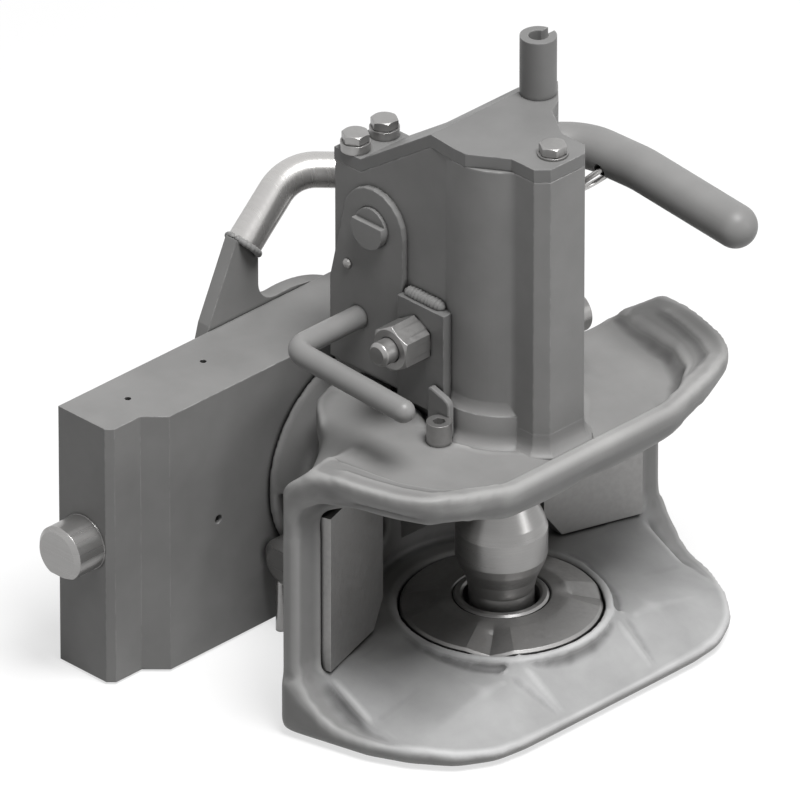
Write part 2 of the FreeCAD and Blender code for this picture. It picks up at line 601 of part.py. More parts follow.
# Wear plates line the slanting side walls of the mouth.
def wear_parts():
    for side, sign in (("left", -1), ("right", 1)):
        body = new_body("wear_body_" + side)
        plan = [("92.5", "8"), ("94.3", "13.7"), ("49.5", "27.9"), ("47.7", "22.2")]
        plan = [("%d * %s" % (sign, x), y) for x, y in plan]
        pad(body, "wear_slab_" + side, "XY", plan, "wear_plate_low", "wear_plate_top")
        cut_off = [("%d * %s" % (sign, x), z) for x, z in (("40", "-40"), ("40", "-14"), ("58", "-40"))]
        pocket(body, "wear_corner_" + side, "XZ", cut_off, "0", "40")
        piece(body, "wear_plate_" + side)
    body = new_body("wear_disc_body")
    low = "floor - recess_depth"
    profile = [("seat_ring_radius + 0.3", low), ("wear_disc_radius", low), ("wear_disc_radius", low + " + 4"),
               ("28", "wear_disc_top"), ("seat_ring_radius + 0.3", "wear_disc_top")]
    revolve(body, "wear_turned", "XZ", profile)
    pocket(body, "front_chord", "XY", [("-45", "-50"), ("45", "-50"), ("45", "-35"), ("-45", "-35")],
           "floor - 10", "floor + 8")
    piece(body, "wear_disc")
    body = new_body("seat_body")
    profile = [("seat_ring_bore", "pocket_end + 2"), ("seat_ring_radius", "pocket_end + 2"),
               ("seat_ring_radius", "seat_ring_top - 1"), ("seat_ring_radius - 1", "seat_ring_top"),
               ("seat_ring_bore + 1", "seat_ring_top"), ("seat_ring_bore", "seat_ring_top - 1")]
    revolve(body, "seat_turned", "XZ", profile)
    piece(body, "seat_ring")
    body = new_body("guide_body")
    profile = [("pin_radius + running_gap", "guide_low"), ("guide_radius", "guide_low"),
               ("guide_radius", "tower_seat"), ("guide_radius", "guide_top"),
               ("pin_radius + running_gap", "guide_top")]
    revolve(body, "guide_turned", "XZ", profile)
    piece(body, "guide_bush")


PIN_PROFILE = [("0", "pin_low"), ("pin_tip - 2", "pin_low"), ("pin_tip", "pin_low + 2"), ("pin_tip", "-30"),
               ("15.3", "-24"), ("18.1", "-17.7"), ("pin_radius", "-13.5"), ("pin_radius", "-1"),
               ("18", "3.6"), ("pin_neck", "12"), ("pin_neck", "pin_shoulder - 4"),
               ("pin_radius", "pin_shoulder"), ("pin_radius", "pin_head - 2"),
               ("pin_radius - 2", "pin_head"), ("0", "pin_head")]


# The pin slides in the tower. The lifting arm works in the slot of its head.
def coupling_pin():
    body = new_body("pin_body")
    revolve(body, "pin_turned", "XZ", PIN_PROFILE)
    slot = block("arm_slot", "arm_slot_left", "arm_slot_right", "-pin_radius - 1", "pin_radius + 1",
                 "arm_slot_low", "pin_head + 1")
    tip_z = "shaft_z + arm_length * sin(arm_angle)"
    cross = block("lift_slot", "-pin_radius - 1", "pin_radius + 1", "-14", "12", tip_z + " - 6",
                  tip_z + " + 6")
    piece(cut("pin_cut", body, slot, cross), "coupling_pin")


def tower_housing():
    body = new_body("tower_body")
    circle_feature("Pad", body, "barrel", "XY", "tower_radius", "tower_seat", "tower_top")
    rib = [("rib_half", "-10"), ("rib_half", "rib_front + rib_corner"), ("rib_half - rib_corner", "rib_front")]
    pad(body, "front_rib", "XY", mirrored([("rib_half", "0")] + rib[1:]), "box_low + 1.5", "tower_top")
    soften(body, "rib_root", "Fillet", "5",
           lambda edge: upright(edge) and abs(abs(edge.CenterOfMass.x) - value("rib_half")) < 0.1
           and edge.CenterOfMass.y > -22)
    wide = [("0", "tower_seat"), ("box_wide_back", "tower_seat"), ("box_wide_back", "169"),
            ("box_fold", "tower_top"), ("0", "tower_top")]
    pad(body, "rear_wall", "YZ", wide, "box_left", "box_right")
    wing = [("26", "-3.6"), ("34.2", "1.3"), ("45.3", "12.6"), ("box_wide", "box_fold"),
            ("box_wide", "box_wide_back"), ("0", "box_wide_back"), ("0", "0")]
    pad(body, "right_wall", "XY", wing, "tower_seat + 4", "tower_top")
    back = [("box_fold", "box_low"), ("box_back", "box_low"), ("box_back", "strip_top"),
            ("strip_front", "strip_top"), ("box_fold", "tower_top")]
    pad(body, "mechanism_box", "YZ", back, "box_left", "box_right")
    trim = [("box_fold", "tower_top"), ("strip_front", "strip_top"), ("strip_front", "tower_top + 5"),
            ("box_fold", "tower_top + 5")]
    pocket(body, "fold_slope", "YZ", trim, "box_left - 3", "box_wide + 1")
    circle_feature("Pad", body, "base_collar", "XY", "collar_radius", "tower_seat", "collar_top")
    circle_feature("Pad", body, "foot", "XY", "foot_radius", "tower_seat", "tower_seat + 5")
    circle_feature("Pad", body, "lever_boss", "YZ", "bearing_radius", "box_right", "bearing_end",
                   "shaft_y", "shaft_z")
    bore = rod("tower_bore_hole", "Z", "tower_bore", "guide_top", "tower_top + 1")
    seat = rod("guide_seat", "Z", "guide_radius", "tower_seat - 1", "guide_top")
    inside = block("box_inside", "box_left + box_wall", "box_right - box_wall + 1.5", "0",
                   "box_back - box_wall", "box_low + box_wall", "tower_top + 1")
    roof = new_body("box_roof_body")
    slope = [("box_fold", "tower_top - 4"), ("strip_front", "strip_top - 4"), ("box_back + 5", "strip_top - 4"),
             ("box_back + 5", "tower_top + 5"), ("box_fold", "tower_top + 5")]
    pad(roof, "box_roof", "YZ", slope, "box_left - 1", "box_right + 1")
    inner = cut("box_hollow", inside, roof)
    shaft = rod("shaft_bore", "X", "shaft_radius + running_gap", "box_left - 5", "bearing_end + 1",
                "shaft_y", "shaft_z")
    axle = rod("release_bore", "X", "release_radius + running_gap", "box_left - 5", "box_right + 1",
               "release_y", "release_z")
    slot = block("finger_way", "finger_left - 1.5", "finger_right + 1.5", "20", "box_back - box_wall",
                 "tower_seat - 1", "box_low + box_wall + 1")
    plug = rod("plug_seat", "X", "plug_radius", "plug_inner", "box_wide + 1", "0", "plug_z")
    piece(cut("tower_cut", body, bore, seat, inner, shaft, axle, slot, plug), "tower_housing")


def cover_plate():
    body = new_body("cover_body")
    top = [("-rib_half", "-20"), ("-rib_half", "rib_front + rib_corner"), ("-rib_half + rib_corner", "rib_front"),
           ("rib_half - rib_corner", "rib_front"), ("rib_half", "rib_front + rib_corner"), ("rib_half", "-20"),
           ("25.6", "-3.6"), ("34.2", "1.3"), ("45.3", "12.6"), ("box_wide", "box_fold"),
           ("box_left", "box_fold"), ("-25.6", "2"), ("-25.6", "-3.6")]
    pad(body, "cover_top", "XY", top, "tower_top", "tower_top + cover_thickness")
    fall = "(tower_top - strip_top) / (strip_front - box_fold)"
    flange = [("box_fold", "tower_top"), ("box_wide_back", "tower_top - (box_wide_back - box_fold) * %s" % fall),
              ("box_wide_back", "tower_top + cover_thickness - (box_wide_back - box_fold) * %s" % fall),
              ("box_fold", "tower_top + cover_thickness")]
    pad(body, "cover_flange", "YZ", flange, "box_left", "box_wide")
    strip = [("box_wide_back - 1", "tower_top - (box_wide_back - 1 - box_fold) * %s" % fall),
             ("strip_front", "strip_top"), ("box_back + 0.5", "strip_top"),
             ("box_back + 0.5", "strip_top + cover_thickness"),
             ("strip_front", "strip_top + cover_thickness"),
             ("box_wide_back - 1", "tower_top + cover_thickness - (box_wide_back - 1 - box_fold) * %s" % fall)]
    pad(body, "cover_strip", "YZ", strip, "box_left", "box_right")
    piece(body, "cover_plate")


def cover_bolts():
    spots = [("0", "-29.2", "tower_top + cover_thickness", "1"),
             ("-19", "67", "strip_top + cover_thickness", "spacer_height"),
             ("-2", "67", "strip_top + cover_thickness", "spacer_height")]
    heads = []
    washers = []
    for index, (x, y, z, thick) in enumerate(spots):
        head = "%s + %s" % (z, thick)
        washers.append(rod("cover_washer_%d" % index, "Z", "head_flats / 2 + 1.2", z, head, x, y))
        heads.append(hexagon("cover_head_%d" % index, "Z", "head_flats", head, head + " + 4", x, y))
    group = doc.addObject("Part::Compound", "bolt_heads")
    group.Links = heads
    piece(group, "cover_bolts")
    group = doc.addObject("Part::Compound", "bolt_washers")
    group.Links = washers
    piece(group, "cover_washers")
    foot = "tower_top + cover_thickness"
    top = foot + " + tube_height"
    tube_x = "box_wide - 13"
    tube = rod("tube_outer", "Z", "tube_radius", foot, top, tube_x, "tube_y")
    hole = rod("tube_hole", "Z", "tube_bore", foot + " - 1", top + " + 1", tube_x, "tube_y")
    slit = block("tube_slit", tube_x, tube_x + " + tube_radius + 1", "tube_y - 1.8", "tube_y + 1.8",
                 foot + " - 1", top + " + 1")
    piece(cut("tube_cut", tube, hole, slit), "cable_tube")


# Everything on the lever shaft turns with it.
def hand_lever():
    bar = bent_bar("lever_bar", "lever_radius",
                   [("bearing_end + 0.5", "shaft_y", "shaft_z"), ("lever_x", "shaft_y", "shaft_z"),
                    ("lever_x", "3", "shaft_z + 1.2"), ("lever_x", "-51.5", "128.7")],
                   ["lever_bend", "60"], tip=True)
    shaft = rod("lever_shaft", "X", "shaft_radius", "-31", "lever_x - lever_bend - 1", "shaft_y", "shaft_z")
    ring_out = ("%s * cos(ring_tilt)", "-%s * sin(ring_tilt)")
    eye = rod("ring_hole", "X", "2.9", "lever_x - 12", "lever_x + 12",
              "ring_y + " + ring_out[0] % "4.7", "shaft_z + 1" + ring_out[1] % "4.7")
    step = block("shaft_step", "-32", "-28.5", "shaft_y - 10", "shaft_y + 10", "shaft_z + 3", "shaft_z + 10")
    piece(cut("lever_cut", join("lever_joined", bar, shaft), eye, step), "hand_lever")
    ring = doc.addObject("Part::Torus", "ring_torus")
    ring.setExpression("Radius1", bound("ring_radius"))
    ring.setExpression("Radius2", bound("ring_wire / 2"))
    ring.Placement = FreeCAD.Placement(FreeCAD.Vector(),
                                       FreeCAD.Rotation(FreeCAD.Vector(1, 0, 0), -value("ring_tilt")))
    place(ring, "lever_x", "ring_y + " + ring_out[0] % "(ring_radius + 3.5)",
          "shaft_z + 1" + ring_out[1] % "(ring_radius + 3.5)")
    piece(ring, "lever_ring")
    tip_y = "shaft_y - arm_length * cos(arm_angle)"
    tip_z = "shaft_z + arm_length * sin(arm_angle)"
    hub = rod("arm_hub_round", "X", "arm_hub", "arm_left", "arm_right", "shaft_y", "shaft_z")
    end = rod("arm_end_round", "X", "arm_half_width", "arm_left", "arm_right", tip_y, tip_z)
    blade = doc.addObject("Part::Box", "arm_blade")
    blade.setExpression("Length", bound("arm_right - arm_left"))
    blade.setExpression("Width", bound("arm_length"))
    blade.setExpression("Height", bound("2 * arm_half_width"))
    turn = FreeCAD.Rotation(FreeCAD.Vector(1, 0, 0), 180 - value("arm_angle"))
    corner = turn.multVec(FreeCAD.Vector(0, 0, -value("arm_half_width")))
    blade.Placement = FreeCAD.Placement(vector("arm_left", "shaft_y", "shaft_z") + corner, turn)
    holes = [rod("arm_bore", "X", "shaft_radius", "arm_left - 1", "arm_right + 1", "shaft_y", "shaft_z"),
             rod("arm_pin_bore", "X", "lift_pin_radius", "arm_left - 1", "arm_right + 1", tip_y, tip_z)]
    piece(cut("arm_cut", join("arm_joined", hub, end, blade), *holes), "lifting_arm")
    piece(rod("lift_pin_rod", "X", "lift_pin_radius", "-15.5", "3.5", tip_y, tip_z), "lift_pin")
    piece(coil("main_coil", "X", "12.5", "1.4", "box_left + box_wall + 0.3", "arm_left - 0.2", "2.5",
               "shaft_y", "shaft_z"), "main_spring")


def release_parts():
    piece(bent_bar("release_bar", "release_radius",
                   [("box_right", "release_y", "release_z"), ("release_x", "release_y", "release_z"),
                    ("release_x", "release_tip", "84")], ["release_bend"], tip=True), "release_lever")
    body = new_body("finger_body")
    profile = [("release_y - 9", "release_z - 8"), ("41", "-17"), ("22", "-1.6"), ("30.5", "30"),
               ("release_y - 16", "release_z + 2"), ("release_y - 10", "release_z + 10"),
               ("release_y + 7", "release_z + 10"), ("release_y + 10", "release_z - 6")]
    pad(body, "finger_plate", "YZ", profile, "finger_left", "finger_right")
    bore = rod("finger_bore", "X", "release_radius", "finger_left - 1", "finger_right + 1", "release_y",
               "release_z")
    piece(cut("finger_cut", body, bore), "trip_finger")
    body = new_body("catch_body")
    profile = [("release_y - 9", "release_z - 8"), ("release_y + 9", "release_z - 8"),
               ("release_y + 9", "release_z + 8"), ("release_y + 2", "release_z + 26"),
               ("release_y - 8", "release_z + 26"), ("release_y - 8", "release_z + 21"),
               ("release_y - 4", "release_z + 19"), ("release_y - 9", "release_z + 6")]
    pad(body, "catch_plate", "YZ", profile, "-12.5", "-5")
    bore = rod("catch_bore", "X", "release_radius", "-20", "0", "release_y", "release_z")
    piece(cut("catch_cut", body, bore), "catch")
    piece(coil("release_coil", "X", "6.6", "1.2", "-4.6", "0.2", "2", "release_y", "release_z"),
          "release_spring")


def side_fittings():
    body = new_body("pad_body")
    profile = [("shaft_y - pad_radius", "pad_low")]
    steps = 10
    for index in range(steps + 1):
        angle = "%g" % (180 * index / steps)
        profile.append(("shaft_y - pad_radius * cos(%s)" % angle, "shaft_z + pad_radius * sin(%s)" % angle))
    profile += [("box_back", "100"), ("box_back", "pad_low")]
    pad(body, "pad_plate", "YZ", profile, "box_left - pad_thickness", "box_left")
    bore = rod("pad_bore", "X", "shaft_radius + running_gap", "box_left - 5", "box_left + 1", "shaft_y",
               "shaft_z")
    axle = rod("pad_axle_bore", "X", "release_radius + running_gap", "box_left - 5", "box_left + 1",
               "release_y", "release_z")
    piece(cut("pad_cut", body, bore, axle), "side_pad")
    lug = block("lug", "-30", "box_left", "4.5", "shaft_y - pad_radius - 0.1", "61", "109")
    lug_seat = rod("lug_seat", "Z", "tower_radius", "60", "110")
    lug_foot = rod("lug_foot", "Z", "collar_radius", "60", "collar_top")
    piece(cut("lug_cut", lug, lug_seat, lug_foot), "lug_plate")
    piece(hexagon("lug_hex", "X", "18.5", "-45", "-30", "21", "93"), "lug_nut")
    piece(rod("lug_screw", "X", "5.4", "-52.6", "-45", "21", "93"), "lug_bolt")
    piece(rod("plug_round", "X", "plug_radius", "plug_inner", "44", "0", "plug_z"), "side_plug")
    cap = rod("cap_head", "Z", "5.35", "web_top + 3", "web_top + 13", "screw_x", "-1")
    socket = hexagon("cap_socket", "Z", "5", "web_top + 9", "web_top + 14", "screw_x", "-1")
    piece(cut("cap_cut", cap, socket), "cap_screw")
    piece(block("tab", "screw_x - 1", "screw_x + 7", "8", "11", "web_top + 3", "web_top + 12"), "clamp_tab")


def check_and_write():
    doc.recompute()
    for item in doc.Objects:
        if "Invalid" in item.State or "Error" in item.State:
            raise ValueError("%s failed: %s" % (item.Name, item.State))
    os.makedirs("parts", exist_ok=True)
    for item in PIECES:
        shape = item.Shape
        if shape.isNull() or not shape.isValid() or not shape.Solids:
            raise ValueError(item.Label + " has no valid solid")
        print("%-20s %2d solid %9.0f mm3" % (item.Label, len(shape.Solids), shape.Volume))
        shape.exportStep("parts/%s.step" % item.Label)


for make in (carrier_plate, locking_bolts, lock_disc, hitch_body, hub_nut, wear_parts, coupling_pin,
             tower_housing, cover_plate, cover_bolts, hand_lever, release_parts, side_fittings):
    make()
    print(make.__name__, "built")
check_and_write()
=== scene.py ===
"""The looks of the automatic tractor hitch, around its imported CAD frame. Outlines are in millimetres."""
import json
import math

import bmesh
import bpy
import numpy as np
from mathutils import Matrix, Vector


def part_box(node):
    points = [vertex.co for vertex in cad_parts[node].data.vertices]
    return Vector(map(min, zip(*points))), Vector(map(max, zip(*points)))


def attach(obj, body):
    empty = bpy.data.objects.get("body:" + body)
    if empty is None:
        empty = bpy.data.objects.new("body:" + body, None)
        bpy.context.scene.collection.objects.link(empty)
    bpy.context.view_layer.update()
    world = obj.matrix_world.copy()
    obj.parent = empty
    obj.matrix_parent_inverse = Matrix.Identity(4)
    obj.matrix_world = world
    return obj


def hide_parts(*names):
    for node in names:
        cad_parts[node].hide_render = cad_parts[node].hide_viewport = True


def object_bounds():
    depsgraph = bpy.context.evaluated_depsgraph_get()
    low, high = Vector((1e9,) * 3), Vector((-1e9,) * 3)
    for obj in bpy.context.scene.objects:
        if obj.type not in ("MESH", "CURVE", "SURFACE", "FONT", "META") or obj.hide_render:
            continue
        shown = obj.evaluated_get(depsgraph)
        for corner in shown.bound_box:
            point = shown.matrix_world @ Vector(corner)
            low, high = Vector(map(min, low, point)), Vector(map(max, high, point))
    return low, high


MM = 0.001

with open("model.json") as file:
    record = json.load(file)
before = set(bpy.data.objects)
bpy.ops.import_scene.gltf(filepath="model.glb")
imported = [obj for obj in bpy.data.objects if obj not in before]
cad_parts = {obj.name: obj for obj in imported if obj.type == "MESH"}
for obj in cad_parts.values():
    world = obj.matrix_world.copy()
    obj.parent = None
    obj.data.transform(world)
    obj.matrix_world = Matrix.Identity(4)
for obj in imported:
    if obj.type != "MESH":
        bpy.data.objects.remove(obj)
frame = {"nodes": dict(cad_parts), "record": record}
cad_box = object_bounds()


# Colours, linear RGB
PAINT = (0.225, 0.223, 0.220)
PAINT_COVER = (0.182, 0.181, 0.179)
STEEL = (0.33, 0.325, 0.32)
STEEL_BRIGHT = (0.52, 0.51, 0.50)
STEEL_DARK = (0.12, 0.12, 0.125)
BRONZE = (0.42, 0.25, 0.09)


class Nodes:
    """Short calls for building a material's node tree."""

    def __init__(self, name):
        self.material = bpy.data.materials.new(name)
        self.material.use_nodes = True
        self.tree = self.material.node_tree
        self.shader = self.tree.nodes["Principled BSDF"]

    def add(self, kind, **values):
        node = self.tree.nodes.new(kind)
        for key, value in values.items():
            if key in node.inputs.keys():
                node.inputs[key].default_value = value
            else:
                setattr(node, key, value)
        return node

    def link(self, source, target):
        self.tree.links.new(source, target)

    def place(self):
        return self.add("ShaderNodeTexCoord").outputs["Object"]

    def noise(self, scale, detail, rough=0.55, stretch=None):
        node = self.add("ShaderNodeTexNoise", Scale=scale, Detail=detail, Roughness=rough)
        spot = self.place()
        if stretch:
            mapping = self.add("ShaderNodeMapping")
            mapping.inputs["Scale"].default_value = stretch
            self.link(spot, mapping.inputs["Vector"])
            spot = mapping.outputs["Vector"]
        self.link(spot, node.inputs["Vector"])
        return node.outputs["Fac"]

    def ramp(self, factor, stops):
        node = self.add("ShaderNodeValToRGB")
        elements = node.color_ramp.elements
        while len(elements) < len(stops):
            elements.new(0.5)
        for element, (spot, level) in zip(elements, stops):
            element.position = spot
            element.color = (level, level, level, 1) if isinstance(level, float) else (*level, 1)
        self.link(factor, node.inputs["Fac"])
        return node.outputs["Color"]

    def mix(self, factor, first, second, blend="MIX"):
        node = self.add("ShaderNodeMix", data_type="RGBA", blend_type=blend)
        inputs = node.inputs
        for socket, value in ((inputs["Factor"], factor), (inputs[6], first), (inputs[7], second)):
            if isinstance(value, bpy.types.NodeSocket):
                self.link(value, socket)
            elif isinstance(value, (int, float)):
                socket.default_value = value
            else:
                socket.default_value = (*value, 1)
        return node.outputs[2]

    def edges(self, radius, low, high):
        """A mask that is bright where the surface turns sharply within the radius."""
        bevel = self.add("ShaderNodeBevel", samples=4, Radius=radius)
        flat = self.add("ShaderNodeNewGeometry").outputs["Normal"]
        dot = self.add("ShaderNodeVectorMath", operation="DOT_PRODUCT")
        self.link(bevel.outputs["Normal"], dot.inputs[0])
        self.link(flat, dot.inputs[1])
        return self.ramp(dot.outputs["Value"], [(low, 1.0), (high, 0.0)])

    def bend(self, low, high):
        """A mask from the mesh's own curvature: low to high picks inner corners or outer edges."""
        turn = self.add("ShaderNodeAttribute", attribute_name="bend").outputs["Fac"]
        shift = self.add("ShaderNodeMath", operation="ADD")
        shift.inputs[1].default_value = 0.5
        self.link(turn, shift.inputs[0])
        return self.ramp(shift.outputs[0], sorted([(low, 0.0), (high, 1.0)]))

    def hollows(self, reach):
        """A mask that is bright in inner corners narrower than the reach, where painted shade darkens the
        colour.
        """
        near = self.add("ShaderNodeAmbientOcclusion", samples=4, Distance=reach)
        return self.ramp(near.outputs["AO"], [(0.30, 1.0), (0.72, 0.0)])

    def bump(self, height, strength, distance, radius):
        """A fine relief on a surface whose edges look rounded by the radius."""
        node = self.add("ShaderNodeBump", Strength=strength, Distance=distance)
        self.link(height, node.inputs["Height"])
        bevel = self.add("ShaderNodeBevel", samples=6, Radius=radius)
        self.link(bevel.outputs["Normal"], node.inputs["Normal"])
        self.link(node.outputs["Normal"], self.shader.inputs["Normal"])


def toned(color, level):
    """The colour made brighter or darker by one factor."""
    return tuple(c * level for c in color)


# Worn edges: how wide they are, from which turn on they show, and how bright they get
EDGE_WIDTH = 0.9 * MM
EDGE_TURN = (0.80, 0.965)
EDGE_TONE = 1.75
# Painted shade in corners narrower than the reach
PAINT_SHADE_REACH = 3.5 * MM
STEEL_SHADE_REACH = 2.5 * MM
SHADE_TONE = 0.12
# Cast surfaces: grey levels where drawbars wear the paint and painted light lifts the lower lip's upper face,
# and the masks and tones of outer edges, their wear with a painted highlight, and of inner corners, with
# painted shade
RUBBED_AND_LIT_DARK = 0.30
RUBBED_AND_LIT_BRIGHT = 0.37
OUTER_BEND = (0.56, 0.80)
OUTER_WEAR_AND_HIGHLIGHT_TONE = (1.45, 1.45, 1.45)
INNER_BEND = (0.44, 0.16)
INNER_SHADE_TONE = (0.50, 0.50, 0.50)
GRAIN_DEPTH = 0.12 * MM


def painted(name, color, rough, cast):
    """Grey paint; cast surfaces show the sand's grain through it."""
    nodes = Nodes(name)
    nodes.shader.inputs["Metallic"].default_value = 0.0
    nodes.shader.inputs["Specular IOR Level"].default_value = 0.30
    cloud = nodes.ramp(nodes.noise(28.0, 5.0), [(0.32, toned(color, 0.90)), (0.70, toned(color, 1.08))])
    chips = nodes.ramp(nodes.noise(180.0, 3.0), [(0.42, 0.0), (0.60, 1.0)])
    wear = nodes.mix(nodes.edges(EDGE_WIDTH, *EDGE_TURN), (0, 0, 0), chips)
    tint = nodes.mix(wear, cloud, toned(color, EDGE_TONE))
    if cast:
        # Paint brightened by drawbars sliding in, and by painted light on the lower lip's upward faces,
        # lifting them out of the upper lip's shadow
        rubbed_and_lit = nodes.add("ShaderNodeAttribute", attribute_name="rubbed_and_lit").outputs["Fac"]
        rubbed_and_lit_tone = nodes.ramp(nodes.noise(45.0, 5.0), [(0.3, RUBBED_AND_LIT_DARK), (0.7, RUBBED_AND_LIT_BRIGHT)])
        tint = nodes.mix(rubbed_and_lit, tint, rubbed_and_lit_tone)
        # Outer edges brighter: their wear, together with a painted highlight
        tint = nodes.mix(nodes.bend(*OUTER_BEND), tint, OUTER_WEAR_AND_HIGHLIGHT_TONE, "MULTIPLY")
        # Inner corners darker: painted shade
        tint = nodes.mix(nodes.bend(*INNER_BEND), tint, INNER_SHADE_TONE, "MULTIPLY")
    # Painted shade: corners narrower than the reach are darkened
    tint = nodes.mix(nodes.hollows(PAINT_SHADE_REACH), tint, toned(color, SHADE_TONE))
    nodes.link(tint, nodes.shader.inputs["Base Color"])
    rough_map = nodes.ramp(nodes.noise(60.0, 3.0), [(0.3, rough - 0.06), (0.7, rough + 0.06)])
    nodes.link(rough_map, nodes.shader.inputs["Roughness"])
    if cast:
        nodes.bump(nodes.noise(900.0, 3.0), 0.22, GRAIN_DEPTH, 1.2 * MM)
    else:
        nodes.bump(nodes.noise(420.0, 3.0), 0.08, GRAIN_DEPTH, 0.7 * MM)
    return nodes.material


METALLIC = 0.75
MARK_DEPTH = 0.04 * MM
MARK_EDGE = 0.4 * MM


def steel(name, color, rough, stretch):
    """Bare metal with fine turning or drawing marks across the stretched direction."""
    nodes = Nodes(name)
    nodes.shader.inputs["Metallic"].default_value = METALLIC
    marks = nodes.noise(1.0, 1.0, 0.5, stretch)
    base = nodes.ramp(nodes.noise(35.0, 4.0), [(0.3, toned(color, 0.92)), (0.7, toned(color, 1.06))])
    lined = nodes.mix(nodes.ramp(marks, [(0.35, 0.0), (0.65, 0.16)]), base, toned(color, 0.7))
    # Painted shade: corners narrower than the reach are darkened
    tint = nodes.mix(nodes.hollows(STEEL_SHADE_REACH), lined, toned(color, SHADE_TONE))
    nodes.link(tint, nodes.shader.inputs["Base Color"])
    rough_map = nodes.ramp(marks, [(0.3, rough - 0.03), (0.7, rough + 0.05)])
    nodes.link(rough_map, nodes.shader.inputs["Roughness"])
    nodes.bump(marks, 0.06, MARK_DEPTH, MARK_EDGE)
    return nodes.material


# How the marks' noise is scaled along X, Y and Z: long where the scale is small
AROUND_Z = (6.0, 6.0, 2600.0)
AROUND_X = (900.0, 9.0, 9.0)
AROUND_Y = (6.0, 2600.0, 6.0)
PLAIN = (420.0, 420.0, 420.0)

MATERIALS = {
    "cast_body": painted("cast_paint", PAINT, 0.52, True),
    "plate_steel": painted("plate_paint", PAINT, 0.50, False),
    "cover_paint": painted("sheet_paint", PAINT_COVER, 0.48, False),
    "lever_paint": painted("bar_paint", PAINT, 0.40, False),
    "turned_steel": steel("turned_metal", STEEL, 0.30, AROUND_Z),
    "wear_steel": steel("wear_metal", toned(STEEL, 0.9), 0.42, PLAIN),
    "bright_bar": steel("bright_metal", STEEL_BRIGHT, 0.24, AROUND_X),
    "fastener": steel("fastener_metal", STEEL, 0.34, PLAIN),
    "spring_steel": steel("spring_metal", STEEL_DARK, 0.40, PLAIN),
    "bronze": steel("bronze_metal", BRONZE, 0.36, AROUND_Y),
}


def dress_nodes():
    """Gives every CAD node the material of its slot."""
    slots = {entry["node"]: entry["material_slot"] for entry in frame["record"]["subparts"]}
    for node, piece in frame["nodes"].items():
        material = MATERIALS[slots[node]]
        piece.data.materials.clear()
        piece.data.materials.append(material)


def loose(name, mesh):
    piece = bpy.data.objects.new(name, mesh)
    bpy.context.scene.collection.objects.link(piece)
    return piece


def make_mesh(name, spots, faces):
    """A closed mesh from points in millimetres, its normals turned outwards."""
    mesh = bpy.data.meshes.new(name)
    mesh.from_pydata([tuple(c * MM for c in spot) for spot in spots], [], faces)
    work = bmesh.new()
    work.from_mesh(mesh)
    bmesh.ops.recalc_face_normals(work, faces=work.faces)
    work.to_mesh(mesh)
    work.free()
    return mesh


def skin(name, sections):
    """A solid through closed sections that have the same number of points."""
    count = len(sections[0])
    spots = [spot for section in sections for spot in section]
    faces = [list(range(count)), [len(spots) - count + index for index in range(count)]]
    for level in range(len(sections) - 1):
        for index in range(count):
            after = (index + 1) % count
            low, high = level * count, (level + 1) * count
            faces.append([low + index, low + after, high + after, high + index])
    return make_mesh(name, spots, faces)


def along(axis, spot):
    """Turns a point given as (first, second, along the axis) into X, Y, Z."""
    first, second, third = spot
    return {"X": (third, first, second), "Y": (first, third, second), "Z": (first, second, third)}[axis]


def polar(name, axis, centre, rows, steps, ring=False):
    """A turned solid. Each row gives radius and height for an angle; a ring's rows close on themselves."""
    spots = []
    for row in rows:
        for index in range(steps):
            angle = 2 * math.pi * index / steps
            radius, height = row(angle)
            spots.append(along(axis, (centre[0] + radius * math.cos(angle),
                                      centre[1] + radius * math.sin(angle), height)))
    faces = []
    last = len(rows) if ring else len(rows) - 1
    for level in range(last):
        low, high = level * steps, (level + 1) % len(rows) * steps
        for index in range(steps):
            after = (index + 1) % steps
            faces.append([low + index, low + after, high + after, high + index])
    if not ring:
        faces += [list(range(steps)), [(len(rows) - 1) * steps + index for index in range(steps)]]
    return make_mesh(name, spots, faces)


def turned(name, axis, centre, profile, steps=64, ring=False):
    rows = [lambda angle, pair=pair: pair for pair in profile]
    return polar(name, axis, centre, rows, steps, ring)


def smooth_shade(mesh, angle=None):
    """Smooth shading, with sharp edges from the angle on, and without normals that the mesh carried along."""
    carried = mesh.attributes.get("custom_normal")
    if carried:
        mesh.attributes.remove(carried)
    mesh.polygons.foreach_set("use_smooth", [True] * len(mesh.polygons))
    if angle:
        mesh.set_sharp_from_angle(angle=math.radians(angle))


def finish_piece(piece, slot, body, stands_for=None):
    """Dresses a piece in its slot's material, hangs it on its body and hides the node that it stands for."""
    piece.data.materials.clear()
    piece.data.materials.append(MATERIALS[slot])
    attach(piece, body)
    if stands_for:
        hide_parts(stands_for)


def evaluated(piece, name):
    """The piece's mesh with its modifiers applied; the piece itself goes."""
    graph = bpy.context.evaluated_depsgraph_get()
    mesh = bpy.data.meshes.new_from_object(piece.evaluated_get(graph))
    mesh.name = name
    bpy.data.objects.remove(piece)
    return mesh


WELD_REACH = 0.002 * MM


def closed_copy(node):
    """A copy of a node's mesh as one closed surface, its split corners joined again."""
    mesh = frame["nodes"][node].data.copy()
    work = bmesh.new()
    work.from_mesh(mesh)
    bmesh.ops.remove_doubles(work, verts=work.verts, dist=WELD_REACH)
    work.to_mesh(mesh)
    work.free()
    return mesh


def carve(piece, steps):
    """Adds and takes away solids, in order, and gives the resulting mesh."""
    tools = []
    for index, (operation, mesh) in enumerate(steps):
        tool = loose("tool_%d" % index, mesh)
        modifier = piece.modifiers.new("carve", "BOOLEAN")
        modifier.operation = operation
        modifier.solver = "MANIFOLD"
        modifier.object = tool
        tools.append(tool)
    mesh = evaluated(piece, piece.name)
    for tool in tools:
        bpy.data.objects.remove(tool)
    return mesh


def both_sides(section):
    """A half outline of (x, y, z) points followed by its mirror image, back to front."""
    return section + [(-x, y, z) for x, y, z in reversed(section)]


